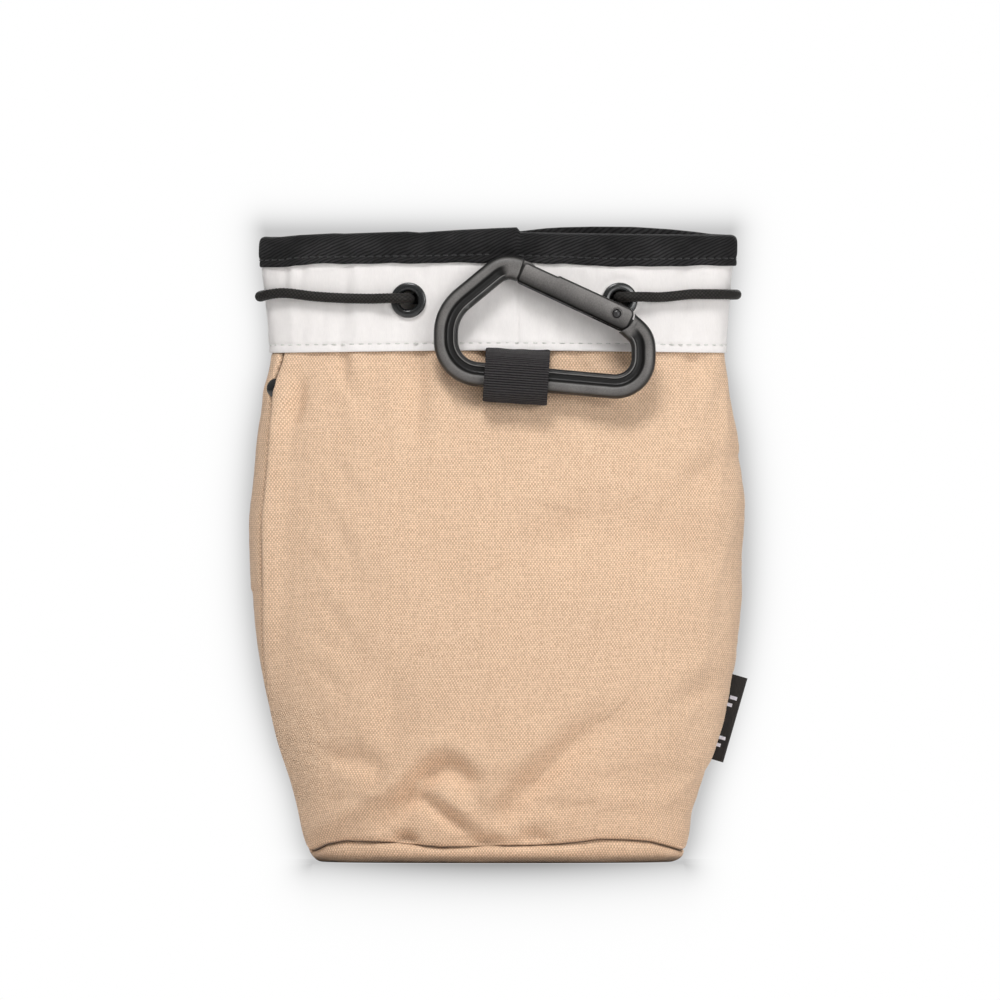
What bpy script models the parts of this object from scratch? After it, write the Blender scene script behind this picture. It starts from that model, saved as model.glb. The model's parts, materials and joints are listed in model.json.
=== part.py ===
"""Treat pouch with a drawcord collar and an accessory carabiner.

Frame: metres, +Z up, X to the right across the pouch. The front, with the carabiner, faces -Y.
The origin is the centre of the flat underside of the base. Sizes below are in millimetres and
angles in degrees. Angles round the bag run from +X (0) by the back (90) and -X (180) to the
front (270).
"""

import math

import bmesh
import bpy
from mathutils import Matrix, Vector

MM = 0.001
LEFT, RIGHT = -1, 1
SIDES = (("left", LEFT), ("right", RIGHT))

# ---------------------------------------------------------------- driving dimensions
# Half width and half depth of the filled bag's outer face: (height, half size).
HALF_WIDTH = [(0, 56.5), (6, 59.2), (20, 62.5), (40, 69.2), (65, 74.6), (98, 77.0), (128, 75.5),
              (146, 72.6), (159.4, 70.3), (187.5, 72.4), (197, 72.4)]
HALF_DEPTH = [(0, 19.0), (6, 23.0), (20, 25.5), (40, 27.5), (65, 28.0), (98, 26.5), (128, 22.4),
              (146, 18.4), (159.4, 15.8), (187.5, 14.2), (197, 14.0)]
# Turn of the left side seam from the side edge towards the front: (height, degrees).
LEFT_SEAM_TURN = [(0, 1.0), (42, 4.0), (65, 12.0), (98, 18.0), (128, 19.0), (170, 16.0)]
RIGHT_SEAM_TURN = 15.0          # the right seam sits this far behind the side edge
SEAM_HALF_GAP = 0.2             # each panel stops about this far short of the seam line

PANEL_THICK = 0.9
PANEL_TOP = 165.5
BASE_TURN_UP = 6.0              # height and radius of the base's rounded-up edge
BASE_THICK = 1.0
BAND_BOTTOM, BAND_TOP = 159.4, 194.4
BAND_IN, BAND_THICK = 0.3, 0.9
BAND_OUT = BAND_IN + BAND_THICK  # the band's outer face, outside the reference surface
RIM_BOTTOM, RIM_TOP = 186.9, 197.0
RIM_THICK = 0.6

CORD_R = 1.5
CORD_Z = 177.3                  # height of the cord along the back of the band
EYELET_Z = 175.3
EYELET_X = {LEFT: -27.8, RIGHT: 37.7}
EYELET_R, EYELET_HOLE_R, EYELET_BARREL_R = 6.0, 3.0, 3.4

TAIL_TOP_Y, TAIL_TOP_Z = 21.0, 172.0
TAIL_SLOPE = 0.17               # the tails lean away from the bag by this much per unit drop
TAIL_END_Z = 122.0
TAIL_X = CORD_R + 0.15          # each tail's distance from the middle
LOCK_Z = 161.5

LOOP_X, LOOP_TILT = 5.7, 3.3    # centre of the webbing loop, and its lean
BAR_Y, BAR_Z, BAR_TILT = -23.9, 151.2, 5.1
CARABINER_LEAN = 6.0            # the carabiner leans back on the band


# ---------------------------------------------------------------- scene and materials
for old in list(bpy.data.objects):
    bpy.data.objects.remove(old, do_unlink=True)

PARTS = bpy.data.collections.new("treat_pouch")
CUTTERS = bpy.data.collections.new("cutters")
bpy.context.scene.collection.children.link(PARTS)
bpy.context.scene.collection.children.link(CUTTERS)
CUTTERS.hide_render = True


def material(name, colour, roughness, metallic=0.0):
    mat = bpy.data.materials.new(name)
    mat.use_nodes = True
    shader = mat.node_tree.nodes["Principled BSDF"]
    shader.inputs["Base Color"].default_value = (*colour, 1.0)
    shader.inputs["Roughness"].default_value = roughness
    shader.inputs["Metallic"].default_value = metallic
    mat.diffuse_color = (*colour, 1.0)
    return mat


SAND = material("sand_canvas", colour=(0.72, 0.50, 0.33), roughness=0.9)
WHITE = material("white_band", colour=(0.82, 0.80, 0.78), roughness=0.75)
BLACK_TAPE = material("black_tape", colour=(0.02, 0.02, 0.021), roughness=0.85)
BLACK_WEB = material("black_webbing", colour=(0.022, 0.021, 0.022), roughness=0.8)
LINER = material("pale_lining", colour=(0.62, 0.60, 0.57), roughness=0.6)
CORD = material("black_cord", colour=(0.02, 0.018, 0.016), roughness=0.8)
BLACK_METAL = material("black_painted_metal", colour=(0.03, 0.03, 0.03), roughness=0.4,
                       metallic=0.6)
BLACK_PLASTIC = material("black_plastic", colour=(0.025, 0.025, 0.025), roughness=0.5)
STEEL = material("spring_steel", colour=(0.6, 0.6, 0.6), roughness=0.3, metallic=1.0)


# ---------------------------------------------------------------- object helpers
def show(name, data, mat=None, matrix=Matrix()):
    """Object with a material among the parts, or a hidden helper when it has none."""
    ob = bpy.data.objects.new(name, data)
    if mat:
        PARTS.objects.link(ob)
        data.materials.append(mat)
    else:
        CUTTERS.objects.link(ob)
        ob.hide_render = True
    ob.matrix_world = matrix
    return ob


def show_bmesh(name, bm, mat, matrix=Matrix()):
    mesh = bpy.data.meshes.new(name)
    bm.to_mesh(mesh)
    bm.free()
    return show(name, mesh, mat, matrix)


def show_solid(name, bm, mat, matrix, bevel, segments):
    bmesh.ops.recalc_face_normals(bm, faces=bm.faces)
    ob = show_bmesh(name, bm, mat, matrix)
    if bevel:
        mod = ob.modifiers.new("bevel", "BEVEL")
        mod.width = bevel * MM
        mod.segments = segments
        mod.limit_method = "ANGLE"
    return ob


def box(name, size, matrix, mat=None, bevel=0.0, segments=2):
    bm = bmesh.new()
    bmesh.ops.create_cube(bm, size=1.0)
    bmesh.ops.scale(bm, vec=Vector(size) * MM, verts=bm.verts)
    return show_solid(name, bm, mat, matrix, bevel, segments)


def rod(name, radius, length, matrix, mat=None, sides=24, bevel=0.0):
    """A cylinder along its own Z."""
    bm = bmesh.new()
    bmesh.ops.create_cone(bm, cap_ends=True, segments=sides, radius1=radius * MM,
                          radius2=radius * MM, depth=length * MM)
    return show_solid(name, bm, mat, matrix, bevel, segments=2)


def turned(name, profile, matrix, mat, steps):
    """Revolve (radius, height) points about Z: a ring, or a solid if they start on the axis."""
    bm = bmesh.new()
    verts = [bm.verts.new((radius * MM, 0.0, height * MM)) for radius, height in profile]
    for start, end in zip(verts, verts[1:]):
        bm.edges.new((start, end))
    if profile[0][0] > 0:
        bm.edges.new((verts[-1], verts[0]))
    ob = show_bmesh(name, bm, mat, matrix)
    mod = ob.modifiers.new("screw", "SCREW")
    mod.steps = mod.render_steps = steps
    mod.use_merge_vertices = True
    mod.merge_threshold = 0.00001
    mod.use_smooth_shade = True
    return ob


def sheet(name, columns, rows, place, mat, thickness):
    """A grid laid on place(column, row) and thickened inwards; columns that meet are joined."""
    last_column, last_row = len(columns) - 1, len(rows) - 1
    bm = bmesh.new()
    bmesh.ops.create_grid(bm, x_segments=last_column, y_segments=last_row, size=1.0)
    for vert in bm.verts:
        i = round((vert.co.x + 1) / 2 * last_column)
        j = round((vert.co.y + 1) / 2 * last_row)
        vert.co = place(columns[i], rows[j]) * MM
    bmesh.ops.remove_doubles(bm, verts=bm.verts, dist=1e-6)
    bmesh.ops.dissolve_degenerate(bm, dist=1e-7, edges=bm.edges)
    ob = show_bmesh(name, bm, mat)
    mod = ob.modifiers.new("solidify", "SOLIDIFY")
    mod.thickness = thickness * MM
    mod.offset = -1.0
    mod.use_even_offset = False
    return ob


def new_curve(name, lines, dimensions, closed=False):
    """Curve data with a straight-sided spline for each list of 2D or 3D points."""
    curve = bpy.data.curves.new(name, "CURVE")
    curve.dimensions = dimensions
    for line in lines:
        spline = curve.splines.new("POLY")
        spline.points.add(len(line) - 1)
        for point, place in zip(spline.points, line):
            point.co = (*(Vector(place).to_3d() * MM), 1.0)
        spline.use_cyclic_u = closed
    return curve


def round_wire(name, points, radius, mat, resolution, matrix=Matrix()):
    curve = new_curve(name, [points], "3D")
    curve.bevel_depth = radius * MM
    curve.bevel_resolution = resolution
    curve.use_fill_caps = True
    return show(name, curve, mat, matrix)


def coil(name, frame, radius, wire, turns, start, end, per_turn):
    """A steel spring whose axis is the frame's X, from start to end."""
    count = int(turns * per_turn)
    points = []
    for k in range(count + 1):
        angle = 2 * math.pi * k / per_turn
        points.append((start + (end - start) * k / count,
                       radius * math.cos(angle), radius * math.sin(angle)))
    return round_wire(name, points, wire, STEEL, resolution=1, matrix=frame)


def filled_outline(name, outlines, half_depth, mat=None):
    """Flat outlines, inner ones being holes, extruded both ways along Z."""
    curve = new_curve(name, outlines, "2D", closed=True)
    curve.fill_mode = "BOTH"
    curve.extrude = half_depth * MM
    return show(name, curve, mat)


def take_mesh(ob):
    """Replace a helper curve by its evaluated mesh, with the caps welded."""
    bpy.context.view_layer.update()
    evaluated = ob.evaluated_get(bpy.context.evaluated_depsgraph_get())
    mesh = bpy.data.meshes.new_from_object(evaluated)
    mesh.materials.clear()
    bm = bmesh.new()
    bm.from_mesh(mesh)
    bmesh.ops.remove_doubles(bm, verts=bm.verts, dist=2e-6)
    bmesh.ops.recalc_face_normals(bm, faces=bm.faces)
    bm.to_mesh(mesh)
    bm.free()
    bpy.data.objects.remove(ob, do_unlink=True)
    return mesh


def boolean(target, cutter, operation="DIFFERENCE"):
    mod = target.modifiers.new(operation.lower() + "_" + cutter.name, "BOOLEAN")
    mod.operation = operation
    mod.solver = "EXACT"
    mod.object = cutter
    cutter.display_type = "WIRE"


def union(target, addition):
    boolean(target, addition, "UNION")


# ---------------------------------------------------------------- placing helpers
ALONG_X = Matrix.Rotation(math.radians(90), 4, "Y")      # lays a rod's Z along X


def frame_of(x_axis, z_axis, origin):
    """Matrix with the given unit axes and an origin in millimetres."""
    frame = Matrix((x_axis, z_axis.cross(x_axis), z_axis)).transposed().to_4x4()
    frame.translation = origin * MM
    return frame


def at(frame, x, y=0.0, z=0.0):
    return frame @ Matrix.Translation(Vector((x, y, z)) * MM)


def direction(degrees):
    return Vector((math.cos(math.radians(degrees)), math.sin(math.radians(degrees))))


def arc(centre, radius, start, end, steps):
    points = []
    for k in range(steps + 1):
        angle = math.radians(start + (end - start) * k / steps)
        points.append((centre[0] + radius * math.cos(angle),
                       centre[1] + radius * math.sin(angle)))
    return points


def ease(t):
    """Smooth step from 0 to 1."""
    t = max(0.0, min(1.0, t))
    return t * t * (3 - 2 * t)


def ramp(value, start, end):
    """Smooth step as value goes from start to end, in either direction."""
    return ease((value - start) / (end - start))


# ---------------------------------------------------------------- the bag's reference surface
def value_at(stations, z):
    """Smooth curve through (height, value) stations, held constant beyond the ends."""
    if z <= stations[0][0]:
        return stations[0][1]
    if z >= stations[-1][0]:
        return stations[-1][1]
    slopes = []
    for i in range(len(stations)):
        before, after = stations[max(i - 1, 0)], stations[min(i + 1, len(stations) - 1)]
        slopes.append((after[1] - before[1]) / (after[0] - before[0]))
    i = next(i for i in range(len(stations) - 1) if z <= stations[i + 1][0])
    (z0, value0), (z1, value1) = stations[i], stations[i + 1]
    span = z1 - z0
    t = (z - z0) / span
    return ((2 * t ** 3 - 3 * t ** 2 + 1) * value0
            + (t ** 3 - 2 * t ** 2 + t) * span * slopes[i]
            + (-2 * t ** 3 + 3 * t ** 2) * value1
            + (t ** 3 - t ** 2) * span * slopes[i + 1])


def section_normal(degrees, z):
    """Outward normal of the oval section, in its own level plane."""
    t = math.radians(degrees)
    return Vector((value_at(HALF_DEPTH, z) * math.cos(t),
                   value_at(HALF_WIDTH, z) * math.sin(t), 0.0)).normalized()


def skin(degrees, z, offset=0.0, shrink=1.0, at_height=None):
    """Point of the oval section at z, moved out by offset, then shrunk towards the centre."""
    t = math.radians(degrees)
    point = Vector((value_at(HALF_WIDTH, z) * math.cos(t),
                    value_at(HALF_DEPTH, z) * math.sin(t), 0.0))
    point += section_normal(degrees, z) * offset
    point *= shrink
    point.z = z if at_height is None else at_height
    return point


def skin_normal(degrees, z):
    """Outward normal of the skin, tilted by its slope in height."""
    up = skin(degrees, z + 1.0) - skin(degrees, z - 1.0)
    level = section_normal(degrees, z)
    return (level - up * (level.dot(up) / up.length_squared)).normalized()


def front_angle(x, z):
    """Angle round the section at which its front has this x."""
    return 360.0 - math.degrees(math.acos(x / value_at(HALF_WIDTH, z)))


def stand_on_skin(degrees, z, offset):
    """Frame whose Z points out of the bag, its origin offset outside the reference surface."""
    normal = skin_normal(degrees, z)
    level = Vector((0, 0, 1)).cross(normal).normalized()
    return frame_of(level, normal, skin(degrees, z, offset))


def left_seam(z):
    return 180.0 + value_at(LEFT_SEAM_TURN, z)


# Angles round a whole section, closest together at the two side edges.
QUADRANT = [0, 4, 8, 12, 17, 24, 32, 42, 54, 66, 78]
HALF_RING = QUADRANT + [90] + [180 - q for q in reversed(QUADRANT)]
RING = HALF_RING + [180 + q for q in HALF_RING[1:]]


# ---------------------------------------------------------------- front and back panels
WALL_Z = [6.3, 12, 20, 30, 42, 54, 66, 80, 96, 112, 126, 138, 148, 157, PANEL_TOP]
PANEL_COLUMNS = 21
COLUMN_CROWDING = 0.6           # how much closer the columns lie near the two seams


def column_share(i):
    """Share of the way across a panel at column i."""
    u = i / (PANEL_COLUMNS - 1)
    return u - COLUMN_CROWDING * math.sin(2 * math.pi * u) / (2 * math.pi)


def panel(name, seams):
    """A wall panel between the two seam angles given by seams(z)."""
    def place(share, z):
        gap = math.degrees(SEAM_HALF_GAP / value_at(HALF_DEPTH, z))
        first, last = seams(z)
        start, end = first + gap, last - gap
        return skin(start + (end - start) * share, z)

    shares = [column_share(i) for i in range(PANEL_COLUMNS)]
    return sheet(name, shares, WALL_Z, place, SAND, PANEL_THICK)


panel("front_panel", lambda z: (left_seam(z), 360.0 + RIGHT_SEAM_TURN))
back_panel = panel("back_panel", lambda z: (RIGHT_SEAM_TURN, left_seam(z)))


# ---------------------------------------------------------------- base and lining
def dish_point(degrees, kind, value, radius):
    """Point of a flat bottom (value: share of its size) or of its turned-up edge (degrees)."""
    if kind == "flat":
        return skin(degrees, BASE_TURN_UP, -BASE_TURN_UP, shrink=value,
                    at_height=BASE_TURN_UP - radius)
    turn = math.radians(value)
    return skin(degrees, BASE_TURN_UP, -BASE_TURN_UP + radius * math.cos(turn),
                at_height=BASE_TURN_UP - radius * math.sin(turn))


BASE_ROWS = ([("flat", share) for share in (0.0, 0.45, 0.8, 1.0)]
             + [("turn", turn) for turn in (65, 40, 18, 0)])
sheet("base_panel", RING, BASE_ROWS, lambda degrees, row: dish_point(degrees, *row, BASE_TURN_UP),
      SAND, BASE_THICK)

LINING_THICK = 0.5
LINING_TOP = 194.4
LINING_TURN = 4.7               # radius of the lining's turned-up edge
LINING_OFFSET = -1.2            # from the reference surface, below the collar
LINING_RIM_SHIFT = 1.1          # how far it moves out towards the rim
LINING_RIM_Z = (174, 186)       # heights over which it moves out
CHANNEL_OFFSET = -5.0           # from the reference surface, behind the cord's channel
# The lining eases in and out of the channel between each pair of places.
CHANNEL_LEFT_X, CHANNEL_RIGHT_X = (-40, -30), (51, 41)
CHANNEL_LOW_Z, CHANNEL_HIGH_Z = (161, 167), (186, 179)
LINING_ROWS = ([("flat", share) for share in (0.0, 0.6, 1.0)]
               + [("turn", turn) for turn in (55, 20, 0)]
               + [("wall", z) for z in (12, 20, 42, 66, 96, 120, 138, 148, 157, 162, 167, 173,
                                        179, 182.5, 186, LINING_TOP)])


def lining_offset(x, y, z):
    """Just inside the shell, closer to the band at the rim, set back behind the channel."""
    offset = LINING_OFFSET + LINING_RIM_SHIFT * ramp(z, *LINING_RIM_Z)
    if y < 0:
        across = ramp(x, *CHANNEL_LEFT_X) * ramp(x, *CHANNEL_RIGHT_X)
        up = ramp(z, *CHANNEL_LOW_Z) * ramp(z, *CHANNEL_HIGH_Z)
        offset += (CHANNEL_OFFSET - offset) * across * up
    return offset


def lining_point(degrees, row):
    kind, value = row
    if kind == "wall":
        return skin(degrees, value, lining_offset(*skin(degrees, value)))
    return dish_point(degrees, kind, value, LINING_TURN)


lining = sheet("lining", RING, LINING_ROWS, lining_point, LINER, LINING_THICK)

# ---------------------------------------------------------------- collar band and rim binding
BAND_Z = [BAND_BOTTOM, 166, 172, 180, 187, BAND_TOP]
collar_band = sheet("collar_band", RING, BAND_Z, lambda degrees, z: skin(degrees, z, BAND_OUT),
                    WHITE, BAND_THICK)

# Section of the binding folded over the mouth: (height, offset).
RIM_LINE = [(RIM_BOTTOM, 2.1), (194.6, 2.1), (196.3, 1.6), (RIM_TOP, 0.3), (196.3, -1.0),
            (194.6, -1.5), (RIM_BOTTOM, -1.5)]
sheet("rim_binding", RING, RIM_LINE, lambda degrees, row: skin(degrees, *row),
      BLACK_TAPE, RIM_THICK)

# ---------------------------------------------------------------- eyelets and their washers
# (radius, height above the band's outer face)
EYELET_PROFILE = [(3.15, 0.75), (3.7, 1.2), (4.6, 1.35), (5.6, 1.05), (EYELET_R, 0.6),
                  (5.85, 0.3), (EYELET_BARREL_R, 0.3), (EYELET_BARREL_R, -2.05), (4.2, -2.05),
                  (4.2, -2.4), (3.2, -2.4), (EYELET_HOLE_R, -2.2), (EYELET_HOLE_R, 0.3)]
WASHER_PROFILE = [(3.75, -1.25), (5.7, -1.25), (5.7, -1.75), (3.75, -1.75)]
BAND_HOLE_R = EYELET_BARREL_R + 0.3

for side, way in SIDES:
    seat = stand_on_skin(front_angle(EYELET_X[way], EYELET_Z), EYELET_Z, BAND_OUT)
    turned("eyelet_" + side, EYELET_PROFILE, seat, BLACK_METAL, steps=24)
    turned("eyelet_washer_" + side, WASHER_PROFILE, seat, BLACK_METAL, steps=24)
    boolean(collar_band, rod("hole_" + side, BAND_HOLE_R, 8.0, seat))

# ---------------------------------------------------------------- drawcord
CORD_OFFSET = BAND_OUT + 0.3 + CORD_R           # cord centre outside the reference surface
CORD_BACK_LIFT = 0.15                           # added to the offset at the back
OVER_FLANGE = 3.15                              # cord centre above the band, over an eyelet
CHANNEL_H = -4.2                                # cord centre behind the band, in the channel
CORD_BEND_R = 2.7                               # the two bends through an eyelet
CORD_IN_HOLE = 0.2                              # cord centre past the hole's axis, inwards
EYELET_RISE = {LEFT: 0.5, RIGHT: 1.0}           # the cord lies in the upper half of each hole
STRAND_STOP = 11.0                              # a strand ends this far outside its eyelet
STRAND_START_TURN = 10.0                        # and starts this many degrees from back centre
STRAND_DROP_TURN = {LEFT: 40.0, RIGHT: 15.0}    # degrees over which it drops to its eyelet
STRAND_TURNS = (-70, -58, -46, -35, -26, -19, -14, -10, -7, -4, -2, 0, 2, 4, 7, 10, 14, 19, 26,
                34, 42, 50, 57, 63)             # degrees from the side edge towards the front
CHANNEL_INSET = 5.0                             # the channel's run starts this far inside
CHANNEL_SPACES = 8
# Bend from a tail's top to the back strand: (distance beyond the tail's x, y, z).
TAIL_BEND = [(0.25, 20.6, 174.4), (1.1, 20.3, 175.9), (2.6, 20.0, 176.9), (5.0, 19.4, 177.25),
             (7.6, 18.6, CORD_Z)]
TAIL_BEND_Z, TAIL_MIDDLE_Z = 172.6, 147.0


def tail_point(x, z):
    return Vector((x, TAIL_TOP_Y + TAIL_SLOPE * (TAIL_TOP_Z - z), z))


def tail(way):
    """From a tail's lower end, up and round the bend onto the back of the band."""
    points = [tail_point(way * TAIL_X, z) for z in (TAIL_END_Z, TAIL_MIDDLE_Z, TAIL_BEND_Z)]
    return points + [Vector((way * (TAIL_X + out), y, z)) for out, y, z in TAIL_BEND]


def strand(way):
    """From near the back centre, round the side, to just before the eyelet."""
    start = 90.0 - way * STRAND_START_TURN
    stop = front_angle(EYELET_X[way] + way * STRAND_STOP, EYELET_Z)
    side_edge = 180.0
    if way == RIGHT:
        stop -= 360.0
        side_edge = 0.0
    turns = [side_edge - way * turn for turn in STRAND_TURNS]
    between = [turn for turn in turns if min(start, stop) < turn < max(start, stop)]
    low = EYELET_Z + EYELET_RISE[way]
    points = []
    for degrees in [start] + between + [stop]:
        back = ease(math.sin(math.radians(degrees)))
        z = low + (CORD_Z - low) * ease(abs(degrees - stop) / STRAND_DROP_TURN[way])
        points.append(skin(degrees, z, CORD_OFFSET + CORD_BACK_LIFT * back))
    return points


def through_eyelet(way):
    """From over the flange, down through the hole, into the channel."""
    degrees = front_angle(EYELET_X[way], EYELET_Z)
    seat = skin(degrees, EYELET_Z, BAND_OUT)
    normal = skin_normal(degrees, EYELET_Z)
    inwards = Vector((0, 0, 1)).cross(normal).normalized() * -way
    # (distance towards the middle of the front, height above the band)
    line = [(-6.5, OVER_FLANGE), (-4.6, OVER_FLANGE)]
    line += arc((CORD_IN_HOLE - CORD_BEND_R, OVER_FLANGE - CORD_BEND_R), CORD_BEND_R, 90, 0, 4)
    line += arc((CORD_IN_HOLE + CORD_BEND_R, CHANNEL_H + CORD_BEND_R), CORD_BEND_R, 180, 270, 4)
    rise = Vector((0, 0, EYELET_RISE[way]))
    return [seat + inwards * along + normal * height + rise for along, height in line]


def channel():
    """Behind the front of the band, from the left eyelet to the right one."""
    start = EYELET_X[LEFT] + CHANNEL_INSET
    length = EYELET_X[RIGHT] - EYELET_X[LEFT] - 2 * CHANNEL_INSET
    points = []
    for k in range(1, CHANNEL_SPACES):
        x = start + length * k / CHANNEL_SPACES
        points.append(skin(front_angle(x, EYELET_Z), EYELET_Z, BAND_OUT + CHANNEL_H))
    return points


def half_cord(way):
    return tail(way) + strand(way) + through_eyelet(way)


round_wire("drawcord", half_cord(LEFT) + channel() + half_cord(RIGHT)[::-1], CORD_R, CORD,
           resolution=2)


# ---------------------------------------------------------------- cord lock and cord end
def tail_frame(z):
    """X across the pouch, Z up along the tails, origin between them at height z."""
    up = Vector((0, -TAIL_SLOPE, 1)).normalized()
    return frame_of(Vector((1, 0, 0)), up, tail_point(0.0, z))


lock = tail_frame(LOCK_Z)
CORD_SLOT = (10.05, 3.6, 20.0)
CORD_SLOT_SHIFT = 1.575         # the barrel's slot is moved to -X by this, the button's to +X

barrel = box("cord_lock_barrel", (20.5, 9.2, 13.0), at(lock, -2.25), BLACK_PLASTIC,
             bevel=2.2, segments=3)
boolean(barrel, box("barrel_bore", (30.0, 7.0, 10.4), at(lock, 3.6), bevel=1.5))
boolean(barrel, box("barrel_cord_slot", CORD_SLOT, at(lock, -CORD_SLOT_SHIFT)))

button = box("cord_lock_button", (19.0, 6.4, 9.8), at(lock, 2.5), BLACK_PLASTIC, bevel=1.3)
boolean(button, box("button_cord_slot", CORD_SLOT, at(lock, CORD_SLOT_SHIFT)))
boolean(button, rod("button_spring_seat", 2.6, 4.6, at(lock, -7.0) @ ALONG_X, sides=16))

coil("cord_lock_spring", lock, radius=2.0, wire=0.25, turns=3.5, start=-10.8, end=-5.2,
     per_turn=10)

end_frame = tail_frame(TAIL_END_Z)
cord_end = box("cord_end", (9.4, 6.0, 13.0), at(end_frame, 0, 0, -1.0), BLACK_PLASTIC,
               bevel=1.8, segments=3)
for side, way in SIDES:
    boolean(cord_end, rod("cord_end_socket_" + side, CORD_R + 0.3, 12.0,
                          at(end_frame, way * TAIL_X, 0, 5.6), sides=16))


# ---------------------------------------------------------------- webbing loop
def empty(name):
    pivot = bpy.data.objects.new(name, None)
    PARTS.objects.link(pivot)
    return pivot


WEBBING_WIDTH, WEBBING_THICK = 20.0, 1.1
LOOP_INNER_R = 4.6
LOOP_OUTER_R = LOOP_INNER_R + WEBBING_THICK
LOOP_TOP_HALF = 0.9             # half thickness of the loop's flat top
LOOP_TOP_Y = BAR_Y + LOOP_OUTER_R - LOOP_TOP_HALF
LOOP_TOP_Z = 158.4
LOOP_LOW_Z, LOOP_HIGH_Z = BAR_Z - 2.3, BAR_Z + 0.4      # ends of the straight sides


def loop_outline(radius, top_z, top_half):
    """Section (y, z): a round-bottomed pocket that closes up to a flat top on the bag's side."""
    return arc((BAR_Y, LOOP_LOW_Z), radius, 180, 360, 12) + [
        (BAR_Y + radius, LOOP_HIGH_Z),
        (BAR_Y + radius * 0.96, LOOP_HIGH_Z + 1.6),
        (LOOP_TOP_Y + top_half, top_z),
        (LOOP_TOP_Y - top_half, top_z),
        (BAR_Y - radius * 0.74, LOOP_HIGH_Z + radius),
        (BAR_Y - radius, LOOP_HIGH_Z)]


loop_pivot = empty("loop_pivot")
loop_pivot.location = Vector((LOOP_X, LOOP_TOP_Y, LOOP_TOP_Z)) * MM
loop_pivot.rotation_euler = (0.0, math.radians(LOOP_TILT), 0.0)
webbing_loop = filled_outline(
    "webbing_loop",
    [loop_outline(LOOP_OUTER_R, LOOP_TOP_Z, LOOP_TOP_HALF),
     loop_outline(LOOP_INNER_R, LOOP_TOP_Z - 1.5, 0.12)],
    WEBBING_WIDTH / 2, BLACK_WEB)
# The outline's own x, y and z become the pouch's y, z and x.
OUTLINE_TURN = Matrix(((0, 0, 1, 0), (1, 0, 0, 0), (0, 1, 0, 0), (0, 0, 0, 1)))
webbing_loop.parent = loop_pivot
webbing_loop.matrix_local = (Matrix.Translation(Vector((0, -LOOP_TOP_Y, -LOOP_TOP_Z)) * MM)
                             @ OUTLINE_TURN)

# ---------------------------------------------------------------- carabiner: its plane
carabiner_pivot = empty("carabiner_pivot")
BAR_AXIS = Vector((math.cos(math.radians(BAR_TILT)), 0, -math.sin(math.radians(BAR_TILT))))
carabiner_pivot.matrix_world = (Matrix.Translation(Vector((LOOP_X, BAR_Y, BAR_Z)) * MM)
                                @ Matrix.Rotation(math.radians(-CARABINER_LEAN), 4, BAR_AXIS))
# Takes the carabiner's own plane (x, z), at y = 0, to its place on the pouch.
CARABINER = at(carabiner_pivot.matrix_world, -LOOP_X, 0, -BAR_Z)
STAND_UP = Matrix.Rotation(math.radians(90), 4, "X")       # a flat path's y becomes z


def in_plane(centre, along):
    """Frame in the carabiner's plane: X along, Y to X's left, Z towards the front."""
    origin = Vector((centre.x, 0, centre.y))
    return CARABINER @ frame_of(Vector((along.x, 0, along.y)), Vector((0, -1, 0)), origin)


# ---------------------------------------------------------------- carabiner: frame
# Corners of the frame's centre line in its plane: ((x, z), bend radius).
FRAME_CORNERS = [((2.1, 186.6), 7.0), ((-16.2, 171.4), 14.0), ((-16.2, 153.1), 10.5),
                 ((45.2, 147.6), 8.7), ((45.2, 163.6), 7.0)]
BEND_STEP = 22.0                # degrees of bend per segment
GATE_PIVOT = Vector((36.9, 170.9))
GATE_ANGLE = 155.2              # direction from the pivot to the nose, from +x
GATE_LENGTH, GATE_HALF_T = 32.7, 3.2
SEAT_R = 5.8                    # hollow end of the frame that the gate's end turns in
TANG_HALF_T, SLOT_HALF_T = 1.4, 1.7
PIN_R, PIN_HOLE_R = 1.3, 1.6
THROUGH = 20.0                  # length of cutters that pass right through

# Half section of the bar: outer bead, thin web, small inner bead: (outwards, across).
HALF_BAR_SECTION = [(3.8, 0.0), (3.5, 1.6), (2.6, 2.6), (1.3, 2.8), (0.2, 2.2), (-0.3, 1.5),
                    (-1.8, 1.5), (-2.4, 1.9), (-3.2, 1.7), (-3.7, 0.8)]


def filleted(corners, start, end):
    """Centre line from start to end through rounded corners."""
    stops = [Vector(start)] + [Vector(corner) for corner, _ in corners] + [Vector(end)]
    points = [stops[0]]
    for before, corner, after, (_, radius) in zip(stops, stops[1:], stops[2:], corners):
        to_before, to_after = (before - corner).normalized(), (after - corner).normalized()
        half = to_before.angle(to_after) / 2
        cut = radius / math.tan(half)
        centre = corner + (to_before + to_after).normalized() * (radius / math.sin(half))
        start_angle = math.atan2(*(corner + to_before * cut - centre).yx)
        end_angle = math.atan2(*(corner + to_after * cut - centre).yx)
        turn = (end_angle - start_angle + math.pi) % (2 * math.pi) - math.pi
        steps = max(2, round(abs(math.degrees(turn)) / BEND_STEP))
        for k in range(steps + 1):
            angle = start_angle + turn * k / steps
            points.append(centre + Vector((math.cos(angle), math.sin(angle))) * radius)
    points.append(stops[-1])
    return points


def bar_section():
    """Helper curve with the whole section of the bar."""
    mirrored = [(out, -across) for out, across in reversed(HALF_BAR_SECTION[1:])]
    points = [(-out, across) for out, across in HALF_BAR_SECTION + mirrored]
    curve = new_curve("bar_section", [points], "2D", closed=True)
    curve.fill_mode = "NONE"
    return show("bar_section", curve)


def swept_bar(centre_line):
    path = new_curve("carabiner_path", [centre_line], "3D")
    path.twist_mode = "Z_UP"
    path.bevel_mode = "OBJECT"
    path.bevel_object = bar_section()
    path.use_fill_caps = True
    return take_mesh(show("carabiner_path", path))


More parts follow.
